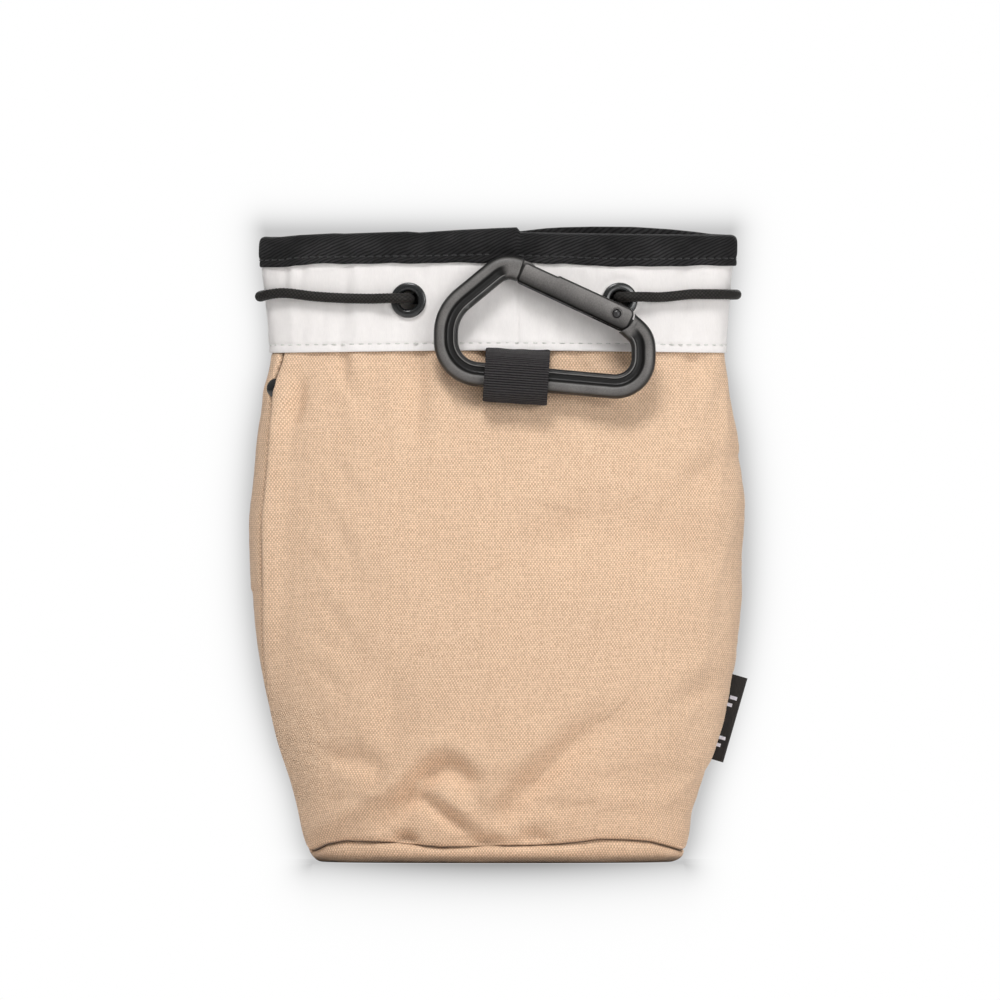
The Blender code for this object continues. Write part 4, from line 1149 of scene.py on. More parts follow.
# ============================================================ lining
def lining_cloth():
    angles = ring_angles(320, 120.0)
    inset, floor_z = -7.6, 6.0
    rows = []
    for share in (0.05, 0.3, 0.6, 0.85, 1.0):           # floor
        ring = skin(angles, floor_z, inset) * [share, share, 1]
        ring[:, 2] = 1.4 + 0.5 * fractal_noise(ring, 11.0, 3.0)
        rows.append(ring)
    for turn in np.radians([70, 50, 30, 12]):           # turn from floor to wall
        ring = skin(angles, floor_z, inset + 3.0 * math.cos(turn))
        ring[:, 2] = floor_z - 4.6 * math.sin(turn)
        rows.append(ring)
    for z in np.linspace(6.2, 191.5, 118):
        ring, normal = section(angles, z, z > 150)
        slack = (-1.4 - 3.2 * ease((70 - z) / 45)
                 - 1.6 * ease((z - 30) / 40) * ease((158 - z) / 15))
        wall = slack * ease((160 - z) / 12) - 1.55 * ease((z - 148) / 12)
        offset = min(-1.55, wall) + 1.2 * ease((z - 174) / 12)
        # it stands back from the band where the cord runs between the eyelets
        across = ease((ring[:, 0] + 40) / 10) * ease((51 - ring[:, 0]) / 10)
        channel = across * ease((z - 161) / 6) * ease((186 - z) / 7)
        offset = np.where(ring[:, 1] < 0, offset + (-5.0 - offset) * channel, offset)
        # and from the lapped left seam
        seam = 180.0 + float(smooth_curve(LEFT_SEAM, z))
        gap = np.abs((angles - seam + 180) % 360 - 180)
        offset = offset - 1.6 * bell(gap, 0, 5.0) * ease((160 - z) / 8) * ease((z - 40) / 30)
        soft = fractal_noise(ring * [1, 1, 0.5], 12.0, 21.0, octaves=3)
        soft = soft * ease((z - 6) / 10) * ease((184 - z) / 12)
        offset = offset - 0.9 * np.maximum(soft + 0.35, 0) ** 1.3
        rows.append(ring + normal * offset[:, None])
    points = np.stack(rows)
    ob = grid_object("lining_cloth", points, run_uv(points, closed=True), closed=True)
    tidy(ob, fill_below=0.01, outward=False)
    ob.data.shade_smooth()
    solidify(ob, 0.35)
    return paint(ob, LINING)


lining = lining_cloth()


# ============================================================ stitches
def stitch_row(name, line, length, radius, pitch, material, sink=0.35):
    """Separate stitches along a line of (points, normals), each a small bowed capsule."""
    points, normals = line
    run = distance_along(points)
    count = int(run[-1] / pitch)
    rings = sides = 7
    share = np.linspace(-1, 1, rings)
    thickness = radius * np.sqrt(np.maximum(0.06, 1 - np.abs(share) ** 5))
    lift = radius * (1 - 1.6 * share ** 4) - sink * radius
    turn = 2 * np.pi * np.arange(sides) / sides
    rise = lift[:, None] + thickness[:, None] * 0.85 * np.sin(turn)
    sideways = thickness[:, None] * np.cos(turn)
    vertices, faces = [], []
    for k in range(count):
        middle = (k + 0.5) * run[-1] / count
        half = length / 2 * (1 + 0.10 * math.sin(k * 1.7))
        at = np.linspace(middle - half, middle + half, rings)
        centre = np.stack([np.interp(at, run, axis) for axis in points.T], -1)
        normal = unit(np.stack([np.interp(at, run, axis) for axis in normals.T], -1))
        across = np.cross(unit(np.gradient(centre, axis=0)), normal)
        vertices.append(centre[:, None] + normal[:, None] * rise[..., None]
                        + across[:, None] * sideways[..., None])
        first = k * rings * sides
        for j in range(first, first + (rings - 1) * sides, sides):
            for i in range(sides):
                i2 = (i + 1) % sides
                faces.append((j + i, j + sides + i, j + sides + i2, j + i2))
        last = first + (rings - 1) * sides
        faces.append(tuple(range(first, first + sides)))
        faces.append(tuple(reversed(range(last, last + sides))))
    ob = mesh_object(name, np.stack(vertices), faces)
    tidy(ob)
    ob.data.shade_smooth()
    return paint(ob, material)


def ring_line(height, offset, inner=False):
    """A line once round the bag; height and offset are functions of x and y."""
    angles = ring_angles(900, 175.0)
    angles = np.append(angles, angles[0] + 360)
    x, y, _ = skin(angles, 175.0, exact=True).T
    z = height(x, y)
    points, normals = section(angles, np.minimum(z, SECTION_TOP), True)
    points = points + normals * np.reshape(offset(x, y), (-1, 1))
    points[:, 2] = z
    return points, (-normals if inner else normals)


def rim_line(share, offset, inner=False):
    def height(x, y):
        low = straight_curve(RIM_LOW, x)
        return low + share * (straight_curve(RIM_TOP_FRONT, x) - low)
    return ring_line(height, lambda x, y: offset, inner)


band_line = ring_line(
    lambda x, y: 161.75 + band_bow(x, y) * 0.84,
    lambda x, y: 1.02 + np.where(y < 0, BAND_RAISED * over_webbing(x) * 0.8, 0))
band_stitches = stitch_row("collar_band_stitches", band_line, length=1.75, radius=0.19,
                           pitch=2.85, material=WHITE_THREAD)
# painted shade: dark capsules sunk under the stitches stand for the shade in their needle holes
band_hole_shade = stitch_row("collar_band_needle_hole_shade", band_line, length=1.05, radius=0.20,
                        pitch=2.85, material=NEEDLE_HOLE_SHADE, sink=0.9)
rim_stitches = stitch_row("rim_stitches", rim_line(RIM_STITCH_OUT, 1.93), length=2.0,
                          radius=0.22, pitch=2.6, material=BLACK_THREAD)
rim_stitches_inside = stitch_row("rim_stitches_inside",
                                 rim_line(RIM_STITCH_IN, -1.36, inner=True), length=2.0,
                                 radius=0.2, pitch=2.6, material=BLACK_THREAD)

# ============================================================ drawcord
CORD_Z = 177.3                      # height round the back
CORD_LIFT = BAND_LIFT + 0.3 + CORD_RADIUS
EYELET_RISE = {-1: 0.5, 1: 1.0}     # cord above the eyelet's middle, left and right
CHANNEL_DEPTH = -4.2                # cord between the eyelets, behind the band's outside
FLANGE_CLEARANCE = 3.15             # cord's middle where it passes over an eyelet's flange
# the two tails hang side by side at the back
TAIL_X = CORD_RADIUS + 0.15
TAIL_TOP_Y, TAIL_TOP_Z, TAIL_SLOPE, TAIL_END_Z = 21.0, 172.0, 0.17, 122.0


def through_eyelet(x, way):
    """From outside the band into the channel; way is +1 when heading right."""
    degrees = angle_at_x(x, EYELET_Z)
    rise = EYELET_RISE[-way]
    origin = skin(degrees, EYELET_Z, BAND_LIFT, True) + np.array([0, 0, rise])
    normal = true_normal(degrees, EYELET_Z)
    along = unit(np.cross([0, 0, 1.0], normal)) * way
    bend = [(-6.5, FLANGE_CLEARANCE), (-4.6, FLANGE_CLEARANCE)]
    bend += arc((-2.5, 0.45), 2.7, 90, 0, 8) + arc((2.9, -1.5), 2.7, 180, 270, 8)
    return [origin + along * a + normal * out for a, out in bend]


def strand(way):
    """From the middle of the back round one side (-1 left, +1 right) to near its eyelet."""
    eyelet_x = EYELET_X[0] if way < 0 else EYELET_X[1]
    stop = angle_at_x(eyelet_x + way * 11.0, EYELET_Z) - (0 if way < 0 else 360.0)
    low = EYELET_Z + EYELET_RISE[way]
    points = []
    for degrees in np.linspace(90.0 - way * 10.0, stop, 90):
        reach = 40.0 if way < 0 else 15.0
        z = low + (CORD_Z - low) * ease(abs(degrees - stop) / reach)
        if way < 0:      # the left strand sags a little towards the side
            z += 0.5 * bell(degrees, 205.0, 9.0) - 0.7 * bell(degrees, 183.0, 8.0)
        back = ease(math.sin(math.radians(degrees)))
        points.append(skin(degrees, z, CORD_LIFT + 0.15 * back, True))
    return points


def tail(x, z):
    return np.array([x, TAIL_TOP_Y + TAIL_SLOPE * (TAIL_TOP_Z - z), z])


def tail_to_side(side):
    """A tail from its end up, then over into the strand on that side."""
    x = side * TAIL_X
    # (distance to the side, y, z)
    turn = [(0.25, 20.6, 174.4), (1.1, 20.3, 175.9), (2.6, 20.0, 176.9), (5.0, 19.4, 177.25),
            (7.6, 18.6, CORD_Z)]
    return ([tail(x, z) for z in (TAIL_END_Z, 140.0, 160.0, 172.6)]
            + [np.array([x + side * out, y, z]) for out, y, z in turn])


def cord_path():
    left, right = EYELET_X
    channel = []
    for k in range(1, 8):
        x = left + 5 + (right - left - 10) * k / 8
        channel.append(skin(angle_at_x(x, EYELET_Z), EYELET_Z, BAND_LIFT + CHANNEL_DEPTH, True))
    left_half = tail_to_side(-1) + strand(-1) + through_eyelet(left, 1)
    right_half = tail_to_side(1) + strand(1) + through_eyelet(right, -1)
    return left_half + channel + right_half[::-1]


def weave_height(p, q):
    upper = (np.floor(p) + np.floor(q)) % 2
    hill_p, hill_q = 1 - (2 * (p % 1.0) - 1) ** 2, 1 - (2 * (q % 1.0) - 1) ** 2
    return np.where(upper > 0.5, np.sqrt(hill_p) * hill_q ** 0.3, np.sqrt(hill_q) * hill_p ** 0.3)


def braided_cord():
    """A tube along the cord's path, its frame carried along without twist."""
    path = resample(cord_path(), 0.30, 8)
    sides = 40
    tangent = unit(np.gradient(path, axis=0))
    normal = np.zeros_like(path)
    normal[0] = unit(np.cross(tangent[0], [0, 0, 1.0]))
    for i in range(1, len(path)):
        normal[i] = unit(normal[i - 1] - tangent[i] * (normal[i - 1] @ tangent[i]))
    side = np.cross(tangent, normal)
    run = distance_along(path)
    along, turn = np.meshgrid(run, np.linspace(0, 2 * np.pi, sides, endpoint=False),
                              indexing="ij")
    strands, step = CORD_STRANDS * turn / (2 * np.pi), along / BRAID_PITCH
    radius = CORD_RADIUS - 0.16 + 0.26 * weave_height(strands + step, strands - step)
    points = (path[:, None] + normal[:, None] * (radius * np.cos(turn))[..., None]
              + side[:, None] * (radius * np.sin(turn))[..., None])
    uv = np.stack(np.meshgrid(np.linspace(0, 1, sides + 1), run), -1)
    ob = grid_object("drawcord_braid", points, uv, closed=True)
    tidy(ob, fill_below=math.inf)
    auto_smooth(ob, 60)
    return paint(ob, CORD)


cord = braided_cord()


# ============================================================ eyelets
def ride(ob, body, slot, *nodes):
    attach(ob, body)
    if nodes:
        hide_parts(*nodes)


def quarter(centre, radii, angles):
    """Points of an ellipse in (radius, height) at angles up from level."""
    return [(centre[0] + radii[0] * math.cos(math.radians(a)),
             centre[1] + radii[1] * math.sin(math.radians(a))) for a in angles]


# (radius, height) of the barrel, the rolled flange and the throat
EYELET_PROFILE = ([(3.0, 0.35), (3.0, -2.2), (3.2, -2.4), (4.2, -2.4), (4.2, -2.05),
                   (3.4, -2.05), (3.4, 0.28), (5.35, 0.28)]
                  + quarter((4.85, 0.55), (0.70, 0.62), (-25, 0, 20, 40, 60, 80))
                  + [(4.55, 1.2), (4.3, 1.25), (4.05, 1.24)]
                  + quarter((3.75, 0.5), (0.75, 0.72), (95, 110, 125, 140, 155, 170)))
WASHER_PROFILE = [(3.75, -1.25), (5.6, -1.25), (5.7, -1.35), (5.7, -1.6), (5.55, -1.75),
                  (3.75, -1.75)]

for side, eyelet_x in zip(("left", "right"), EYELET_X):
    for kind, profile, steps in (("eyelet_", EYELET_PROFILE[::-1], 72),
                                 ("eyelet_washer_", WASHER_PROFILE, 60)):
        ring = lathe(kind + side + "_fine", profile, eyelet_seat(eyelet_x), steps)
        paint(ring, EYELET_BLACK)
        ride(ring, "pouch", "black_metal", kind + side)

# ============================================================ webbing loop
BAR = (5.7, -23.9, 151.2)       # middle of the carabiner's lower bar
LOOP_TILT = 3.7                 # degrees, about the middle of the loop's seam
LOOP_SEAM_Z = 158.4
LOOP_RADIUS = 5.15
WEB_HALF_WIDTH = 10.0
# (y, z) of the strap from under the band to the bar, and from the bar back up behind
LOOP_FRONT = [(-17.05, 161.0), (-17.1, 160.3), (-17.6, 159.75), (-19.0, 159.45), (-21.2, 159.1),
              (-23.8, 158.4), (-26.2, 157.1), (-28.1, 155.1), (-29.0, 152.4)]
LOOP_BACK = [(-18.75, 151.5), (-18.7, 154.5), (-18.3, 157.2), (-17.2, 158.7), (-16.55, 159.6),
             (-16.4, 161.0)]


def webbing():
    _, bar_y, bar_z = BAR
    low = bar_z - 2.6
    path = (LOOP_FRONT + [(bar_y - LOOP_RADIUS, low + 0.6)]
            + arc((bar_y, low), LOOP_RADIUS, 186, 350, 16)
            + [(bar_y + LOOP_RADIUS, low + 0.4)] + LOOP_BACK)
    path = resample(path, 0.095, 10)
    run = distance_along(path)
    tangent = unit(np.gradient(path, axis=0))
    outward = np.stack([tangent[:, 1], -tangent[:, 0]], -1)[:, None]    # away from the bar
    # the first stretch, over the fold, shows no ribs
    rib = 0.16 * np.abs(np.sin(np.pi * run / WEB_RIB)) ** 0.8 * ease((run - 9.6) / 1.2)
    rib = rib[:, None]
    selvedge = WEB_HALF_WIDTH - np.array([0.0, 0.04, 0.15])
    x = np.concatenate([-selvedge, np.linspace(-WEB_HALF_WIDTH, WEB_HALF_WIDTH, 25)[1:-1],
                        selvedge[::-1]])
    edge = np.clip((WEB_HALF_WIDTH - np.abs(x)) / 0.35, 0, 1) ** 0.5
    half, wave = 0.29, 0.05 * np.sin(x * 0.8)
    scallop = 0.06 * np.sin(run * 2 * np.pi / (2 * WEB_RIB))[:, None] * (np.abs(x) > 9.9)

    def face(height):
        yz = path[:, None] + outward * height[..., None]
        return np.concatenate([(x + scallop)[..., None], yz], -1)

    outer = face((half + rib) * edge + wave)
    inner = face(-((half + rib * 0.7) * edge - wave))
    ring = np.concatenate([outer, inner[:, ::-1]], 1)
    uv = np.stack(np.meshgrid(np.concatenate([x, x[::-1] + 30.0, [50.0]]), run), -1)
    tilt = math.radians(LOOP_TILT)
    across, up = ring[..., 0], ring[..., 2] - LOOP_SEAM_Z
    points = ring.copy()
    points[..., 0] = BAR[0] + 0.45 + across * math.cos(tilt) + up * math.sin(tilt)
    points[..., 2] = LOOP_SEAM_Z - across * math.sin(tilt) + up * math.cos(tilt)
    ob = grid_object("webbing_strap", points, uv, closed=True)
    tidy(ob, fill_below=math.inf)
    auto_smooth(ob, 55)
    return paint(ob, WEBBING)


strap = webbing()

# ============================================================ carabiner
# It is laid out upright in x and z, then leaned about its lower bar.
LEAN, BAR_TILT = 6.0, 5.1
# ((x, z), radius) of the bar's corners, from the nose round to the hinge
CORNERS = [((2.1, 186.6), 7.0), ((-16.2, 171.4), 14.0), ((-16.2, 153.1), 10.5),
           ((45.2, 147.6), 8.7), ((45.2, 163.6), 7.0)]
PIVOT = np.array([36.9, 170.9])
GATE_ANGLE = math.radians(155.2)
GATE_WAY = np.array([math.cos(GATE_ANGLE), math.sin(GATE_ANGLE)])
GATE_LENGTH = 32.7
HINGE_WAY = unit(np.array(CORNERS[-1][0]) - PIVOT)      # from the pivot to the last corner
HINGE_SEAT_RADIUS = 5.62
PLAIN_HALF = 2.98           # half thickness of the ungrooved bar
# Half sections of the bar as (outward, y): grooved has a full outer bead, a recessed web
# and a slim inner bead
GROOVED = [(3.85, 0.0), (3.82, 0.7), (3.66, 1.4), (3.35, 2.0), (2.85, 2.52), (2.2, 2.82),
           (1.5, 2.9), (0.9, 2.82), (0.4, 2.55), (0.02, 2.05), (-0.2, 1.6), (-0.4, 1.42),
           (-0.8, 1.36), (-1.6, 1.36), (-1.95, 1.45), (-2.15, 1.7), (-2.35, 1.98), (-2.6, 2.06),
           (-2.9, 2.02), (-3.25, 1.78), (-3.55, 1.3), (-3.7, 0.7), (-3.75, 0.0)]
PLAIN = [(3.85, 0.0), (3.82, 0.7), (3.66, 1.4), (3.35, 2.0), (2.85, 2.52), (2.2, 2.85),
         (1.5, 2.95), (0.9, 2.98), (0.4, 2.98), (0.02, 2.98), (-0.2, 2.98), (-0.4, 2.98),
         (-0.8, 2.98), (-1.6, 2.95), (-1.95, 2.88), (-2.15, 2.8), (-2.35, 2.7), (-2.6, 2.55),
         (-2.9, 2.3), (-3.25, 1.9), (-3.5, 1.4), (-3.68, 0.7), (-3.75, 0.0)]
# (distance inward, scale) of the rings that round off the bar's ends
END_RINGS = [(-0.45, 0.86), (-0.3, 0.94), (-0.12, 0.985)]


def front_plane(centre, way):
    """Frame at (x, z) with X along way and Z towards the front."""
    x_axis, z_axis = Vector((way[0], 0, way[1])), Vector((0, -1, 0))
    return axes_matrix(x_axis, z_axis.cross(x_axis), z_axis, (centre[0], 0, centre[1]))


bar_axis = Vector((math.cos(math.radians(BAR_TILT)), 0, -math.sin(math.radians(BAR_TILT))))
CARABINER = (shift(*BAR) @ Matrix.Rotation(math.radians(-LEAN), 4, bar_axis)
             @ shift(-BAR[0], 0, -BAR[2]))
HINGE = front_plane(PIVOT, GATE_WAY)        # X runs along the gate from its pivot


def mirrored(half_section):
    top = np.array(half_section, float)
    return np.concatenate([top, (top * [1, -1])[::-1][1:-1]])


def bar_path():
    nose = PIVOT + GATE_WAY * (GATE_LENGTH + 0.55)
    shoulder = PIVOT + HINGE_WAY * 3.9
    stops = [nose] + [np.array(corner) for corner, _ in CORNERS] + [shoulder]
    path = [nose]
    for k, (corner, radius) in enumerate(CORNERS):
        path += corner_arc(stops[k], corner, stops[k + 2], radius)
    return resample(path + [shoulder], 0.45, 6)


def tongue():
    """The nose's tongue: a hooked plate that shows just above the gate's outer edge."""
    corners = [(27.9, -2.2), (28.9, -2.9), (30.6, -3.5), (33.6, -3.3), (34.4, -2.4), (34.4, 0.7),
               (28.2, 0.7)]
    ob = pillow("tang", rounded(corners, [0.45] * len(corners), 4), 1.4, 0.25, steps=4)
    ob.data.transform(HINGE)
    return ob


def carabiner_frame():
    path = bar_path()
    run = distance_along(path)
    tangent = unit(np.gradient(path, axis=0))
    outward = np.stack([tangent[:, 1], -tangent[:, 0]], -1)
    grooving = ease((run - 3.0) / 4.5) * ease((run[-1] - 1.5 - run) / 6.0)
    weight = grooving[:, None, None]
    grooved = mirrored(GROOVED)
    sections = grooved * weight + mirrored(PLAIN) * (1 - weight)
    stations = [(path[0] + tangent[0] * inward, outward[0], sections[0] * scale)
                for inward, scale in END_RINGS]
    stations += zip(path, outward, sections)
    stations += [(path[-1] - tangent[-1] * inward, outward[-1], sections[-1] * scale)
                 for inward, scale in END_RINGS[::-1]]
    points = np.array([np.stack([centre[0] + way[0] * outline[:, 0], outline[:, 1],
                                 centre[1] + way[1] * outline[:, 0]], -1)
                       for centre, way, outline in stations])
    uv = np.stack(np.meshgrid(np.append(grooved[:, 0], grooved[0, 0]),
                              np.pad(grooving, len(END_RINGS))), -1)
    ob = grid_object("carabiner_frame_forged", points, uv, closed=True)
    tidy(ob, fill_below=math.inf)
    boolean(ob, rod("cut", HINGE_SEAT_RADIUS, 12, HINGE, 96))
    # a fine step round the hollow end, on both faces
    step_ring = [(HINGE_SEAT_RADIUS + out, height)
                 for out, height in ((1.45, 0.5), (1.45, -0.5), (1.15, -0.5), (1.15, 0.5))]
    for side in (1, -1):
        place = HINGE @ shift(0, 0, side * (PLAIN_HALF - 0.3 + 0.5))
        boolean(ob, lathe("cut", step_ring, place, 96))
    neck_place = front_plane(PIVOT, HINGE_WAY) @ shift(3.7, 0, 0)
    for part in (rod("eye", 2.9, 2.8, HINGE), block("neck", (8.6, 4.2, 2.78), neck_place, 0.2),
                 tongue()):
        boolean(ob, part, "UNION")
    boolean(ob, rod("cut", 1.6, 20, HINGE, 32))
    ob.data.transform(CARABINER)
    auto_smooth(ob, 38)
    return paint(ob, CARABINER_BLACK)


def gate():
    outer, step, inner_hinge, inner_nose = -3.3, 0.45, 4.1, 3.75
    corners = [(-5.0, outer), (20.9, outer), (21.6, outer + step), (GATE_LENGTH, outer + step),
               (GATE_LENGTH, inner_nose), (-5.0, inner_hinge)]
    outline = rounded(corners, [2.0, 0.3, 0.3, 1.3, 1.1, 2.6], 7)
    ob = pillow("carabiner_gate_forged", outline, 3.2, 0.95)
    ob.data.transform(HINGE)
    slot = 3.4
    middle = HINGE @ shift(14.0, 0, 0)
    boolean(ob, block("cut", (12.0, 12.0, slot), HINGE @ shift(0.5, 0, 0)))
    nose_slot = HINGE @ shift(GATE_LENGTH - 5.2 + 3.5, -1.6, 0)
    boolean(ob, block("cut", (7.0, 6.0, slot), nose_slot))
    lengthwise = middle @ Matrix.Rotation(math.radians(90), 4, "Y")
    boolean(ob, rod("cut", 1.55, 17.0, lengthwise, 32))
    boolean(ob, rod("cut", 1.45, 20.0, HINGE))
    for side in (1, -1):        # sinks for the pin's heads
        boolean(ob, rod("cut", 1.85, 0.9, HINGE @ shift(0, 0, side * 3.2)))
    ob.data.transform(CARABINER)
    auto_smooth(ob, 38)
    # point and way set the painted light gradient across the gate: lighter along one edge, darker
    # towards the other
    place = CARABINER @ HINGE
    point = place @ Vector((14.0 * MM, 0, 0)) / MM
    way = place.to_3x3() @ Vector((0, 1, 0))
    return paint(ob, anodised("gate_grey", sheen_colour=(0.098, 0.092, 0.088),
                              dark=(0.016, 0.015, 0.0145), facing=0.84,
                              across=(point, way, -3.3, 4.3)))


frame_piece = carabiner_frame()
gate_piece = gate()
PIN_DOME = [(0.0, 3.02), (0.45, 3.0), (0.85, 2.9), (1.15, 2.72), (1.3, 2.45)]
pin = lathe("gate_pin_rivet", PIN_DOME + [(radius, -z) for radius, z in PIN_DOME[::-1]],
            CARABINER @ HINGE, 48, closed=False)
paint(pin, PIN_BLACK)

# ============================================================ rivet on the left of the front
RIVET_SEAT = seat(196.2, 148.1, 0.6)
RIVET_DOME = [(0.0, 1.5), (0.8, 1.46), (1.5, 1.3), (2.1, 1.05), (2.55, 0.75), (2.85, 0.5),
              (2.9, 0.35), (2.8, 0.28), (0.9, 0.28), (0.9, -0.15), (0.0, -0.15)]
RIVET_POST = [(0.0, -0.45), (0.7, -0.45), (0.7, -1.2), (0.0, -1.2)]
rivet_cap = lathe("side_rivet_dome", RIVET_DOME, RIVET_SEAT, 56, closed=False)
paint(rivet_cap, EYELET_BLACK)
rivet_post = lathe("side_rivet_post_fine", RIVET_POST, RIVET_SEAT, 32, closed=False)
paint(rivet_post, EYELET_BLACK)

# ============================================================ woven tab on the right seam
LABEL_WIDTH, LABEL_HEIGHT = 9.3, 27.4
LABEL_PLACE = (shift(float(skin(RIGHT_SEAM, 44.3, exact=True)[0]) - 2.6, 7.2, 46.7)
               @ Matrix.Rotation(math.radians(16.2), 4, "Y"))
# (height, right end) of the bars woven into its front
LABEL_BARS = ((6.6, 7.9), (4.2, 7.0), (-6.4, 7.9), (-8.8, 7.0))
LABEL_BAR_LEFT, LABEL_BAR_HEIGHT = 5.4, 1.1


def label_curl(x, z):
    return 0.5 * (x / LABEL_WIDTH) ** 2 * np.sin(z / LABEL_HEIGHT * 3.0 + 0.6)


def label_cloth():
    """The tab is one cloth folded at its outer edge, so it runs out and back."""
    columns, rows = 33, 61
    out = np.linspace(0, LABEL_WIDTH, columns)
    x = np.concatenate([out, np.linspace(LABEL_WIDTH, 0, columns)[1:]])
    side = np.concatenate([np.ones(columns), -np.ones(columns - 1)])
    # half thickness falls to nothing round the fold
    half = 0.36 * np.sqrt(np.clip((LABEL_WIDTH - x) / 0.5, 0, 1)) * side
    z = np.linspace(-LABEL_HEIGHT / 2, LABEL_HEIGHT / 2, rows)
    grid_x, grid_z = np.meshgrid(x, z)
    points = np.stack([grid_x, label_curl(grid_x, grid_z) - half, grid_z], -1)
    u = np.concatenate([out, 2 * LABEL_WIDTH - x[columns:]])
    ob = grid_object("side_label_woven", points, np.stack(np.meshgrid(u, z), -1))
    solidify(ob, 0.22)
    ob.data.transform(LABEL_PLACE)
    return paint(ob, LABEL)


def label_bars():
    bm = bmesh.new()
    for z, right in LABEL_BARS:
        x = (LABEL_BAR_LEFT + right) / 2
        bar = block("mark", (right - LABEL_BAR_LEFT, 0.06, LABEL_BAR_HEIGHT),
                    LABEL_PLACE @ shift(x, -0.40 + label_curl(x, z), z), 0.02, segments=1)
        bm.from_mesh(bar.data)
        bpy.data.objects.remove(bar, do_unlink=True)
    return paint(bmesh_object("side_label_bars", bm), LABEL_MARK)


label = label_cloth()
bars = label_bars()

# ============================================================ CAD nodes that stay, refinished
for name, material in (("cord_lock_barrel", PLASTIC), ("cord_lock_button", PLASTIC),
                       ("cord_end", PLASTIC), ("gate_follower", STEEL)):
    paint(frame["nodes"][name], material)


def spring(node_name, pusher_name, body, joint_name, travel):
    """The CAD's coil copied as a piece of its own that rides on the body. Its axis towards the
    pusher and the share left after travel (m) are worked out but not used, so it does not shorten.
    """
    node, pusher = frame["nodes"][node_name], frame["nodes"][pusher_name]
    bpy.context.view_layer.update()
    mesh = node.data.copy()
    mesh.transform(node.matrix_world)
    ob = link_object(node_name + "_coil", mesh)
    coil = np.array([v.co for v in mesh.vertices], float)
    pushing = np.array([pusher.matrix_world @ v.co for v in pusher.data.vertices], float)
    middle = coil.mean(0)
    joint = next(j for j in frame["joints"] if j["name"] == joint_name)
    if joint["type"] == "slide":
        axis = unit(np.array(joint["axis"], float))
    else:       # the coil's own long direction
        axis = np.linalg.svd(coil - middle, full_matrices=False)[2][0]
    if (pushing.mean(0) - middle) @ axis < 0:
        axis = -axis
    along = (coil - middle) @ axis
    length = along.max() - along.min()
    paint(ob, STEEL)
    ride(ob, body, "spring_steel", node_name)
    tuple(middle + axis * along.min())
    float((length - travel) / length)
    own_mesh(ob)


# ============================================================ what each piece rides on
spring("cord_lock_spring", "cord_lock_button", "cord_lock", "lock_button_press", travel=0.00310)
spring("gate_spring", "gate_follower", "gate", "gate_open", travel=0.00130)
# piece, body, slot, the CAD nodes it replaces
for entry in (
        (front_cloth, "pouch", "sand_canvas", "front_panel"),
        (back_cloth, "pouch", "sand_canvas", "back_panel"),
        (base_cloth, "pouch", "sand_canvas", "base_panel"),
        (band, "pouch", "white_band", "collar_band"),
        (rim, "pouch", "black_tape", "rim_binding"),
        (lining, "pouch", "pale_lining", "lining"),
        (band_stitches, "pouch", "white_band"),
        (band_hole_shade, "pouch", "white_band"),
        (rim_stitches, "pouch", "black_tape"),
        (rim_stitches_inside, "pouch", "black_tape"),
        (cord, "pouch", "black_cord", "drawcord"),
        (rivet_cap, "pouch", "black_metal", "side_rivet_cap"),
        (rivet_post, "pouch", "black_metal", "side_rivet_post"),
        (label, "pouch", "black_label", "side_label"),
        (bars, "pouch", "black_label"),
        (frame_piece, "carabiner", "carabiner_metal", "carabiner_frame"),
        (gate_piece, "gate", "gate_metal", "carabiner_gate"),
        (pin, "gate", "gate_metal", "gate_pin")):
    ride(*entry)
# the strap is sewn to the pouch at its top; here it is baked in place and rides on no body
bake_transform(strap)
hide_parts("webbing_loop")

# ============================================================ floor and backdrop
BACKDROP_Y = 40.0
FOOT_HALF_WIDTH, FOOT_HALF_DEPTH = 58.0, 24.0       # the base's footprint
HALO_DEPTH = 0.225
DISPLAY_GAMMA = 2.2


def halo(distance, depth, width, power):
    """Painted shadow: white that darkens towards the object, by depth (0 to 1, display brightness)
    at 0.
    """
    t = (distance.at_least(0.0) * (1.0 / width)) ** power
    fall = math.e ** (t * -1.0)
    return (1.0 - fall * depth) ** DISPLAY_GAMMA


def stage_plane(name, corners, shade, head_on=False):
    """A one-sided plane that glows for the camera, with a painted shadow in its glow, and is plain
    grey for light.

    head_on: it shows only to a camera squarely in front of it.
    """
    ob = mesh_object(name, corners, [(0, 1, 2, 3)])
    g = material_graph(name)
    glow = g.node("Emission", {0: (1, 1, 1), 1: shade(g)})
    diffuse = g.node("BsdfDiffuse", {0: (0.80, 0.80, 0.80)})
    to_camera = g.node("LightPath", out="Is Camera Ray")
    geometry = g.add("NewGeometry")
    seen = g.node("MixShader", {0: to_camera, 1: diffuse, 2: glow})
    keep = 1.0 - Signal(g, geometry.outputs["Backfacing"])
    if head_on:
        incoming = g.split(Signal(g, geometry.outputs["Incoming"]))
        keep = keep * to_camera * (incoming[1] * -1.0).rise(0.985, 0.997)
    clear = g.node("BsdfTransparent")
    shown = g.node("MixShader", {0: keep, 1: clear, 2: seen})
    paint(ob, g.finish("OutputMaterial", shown))


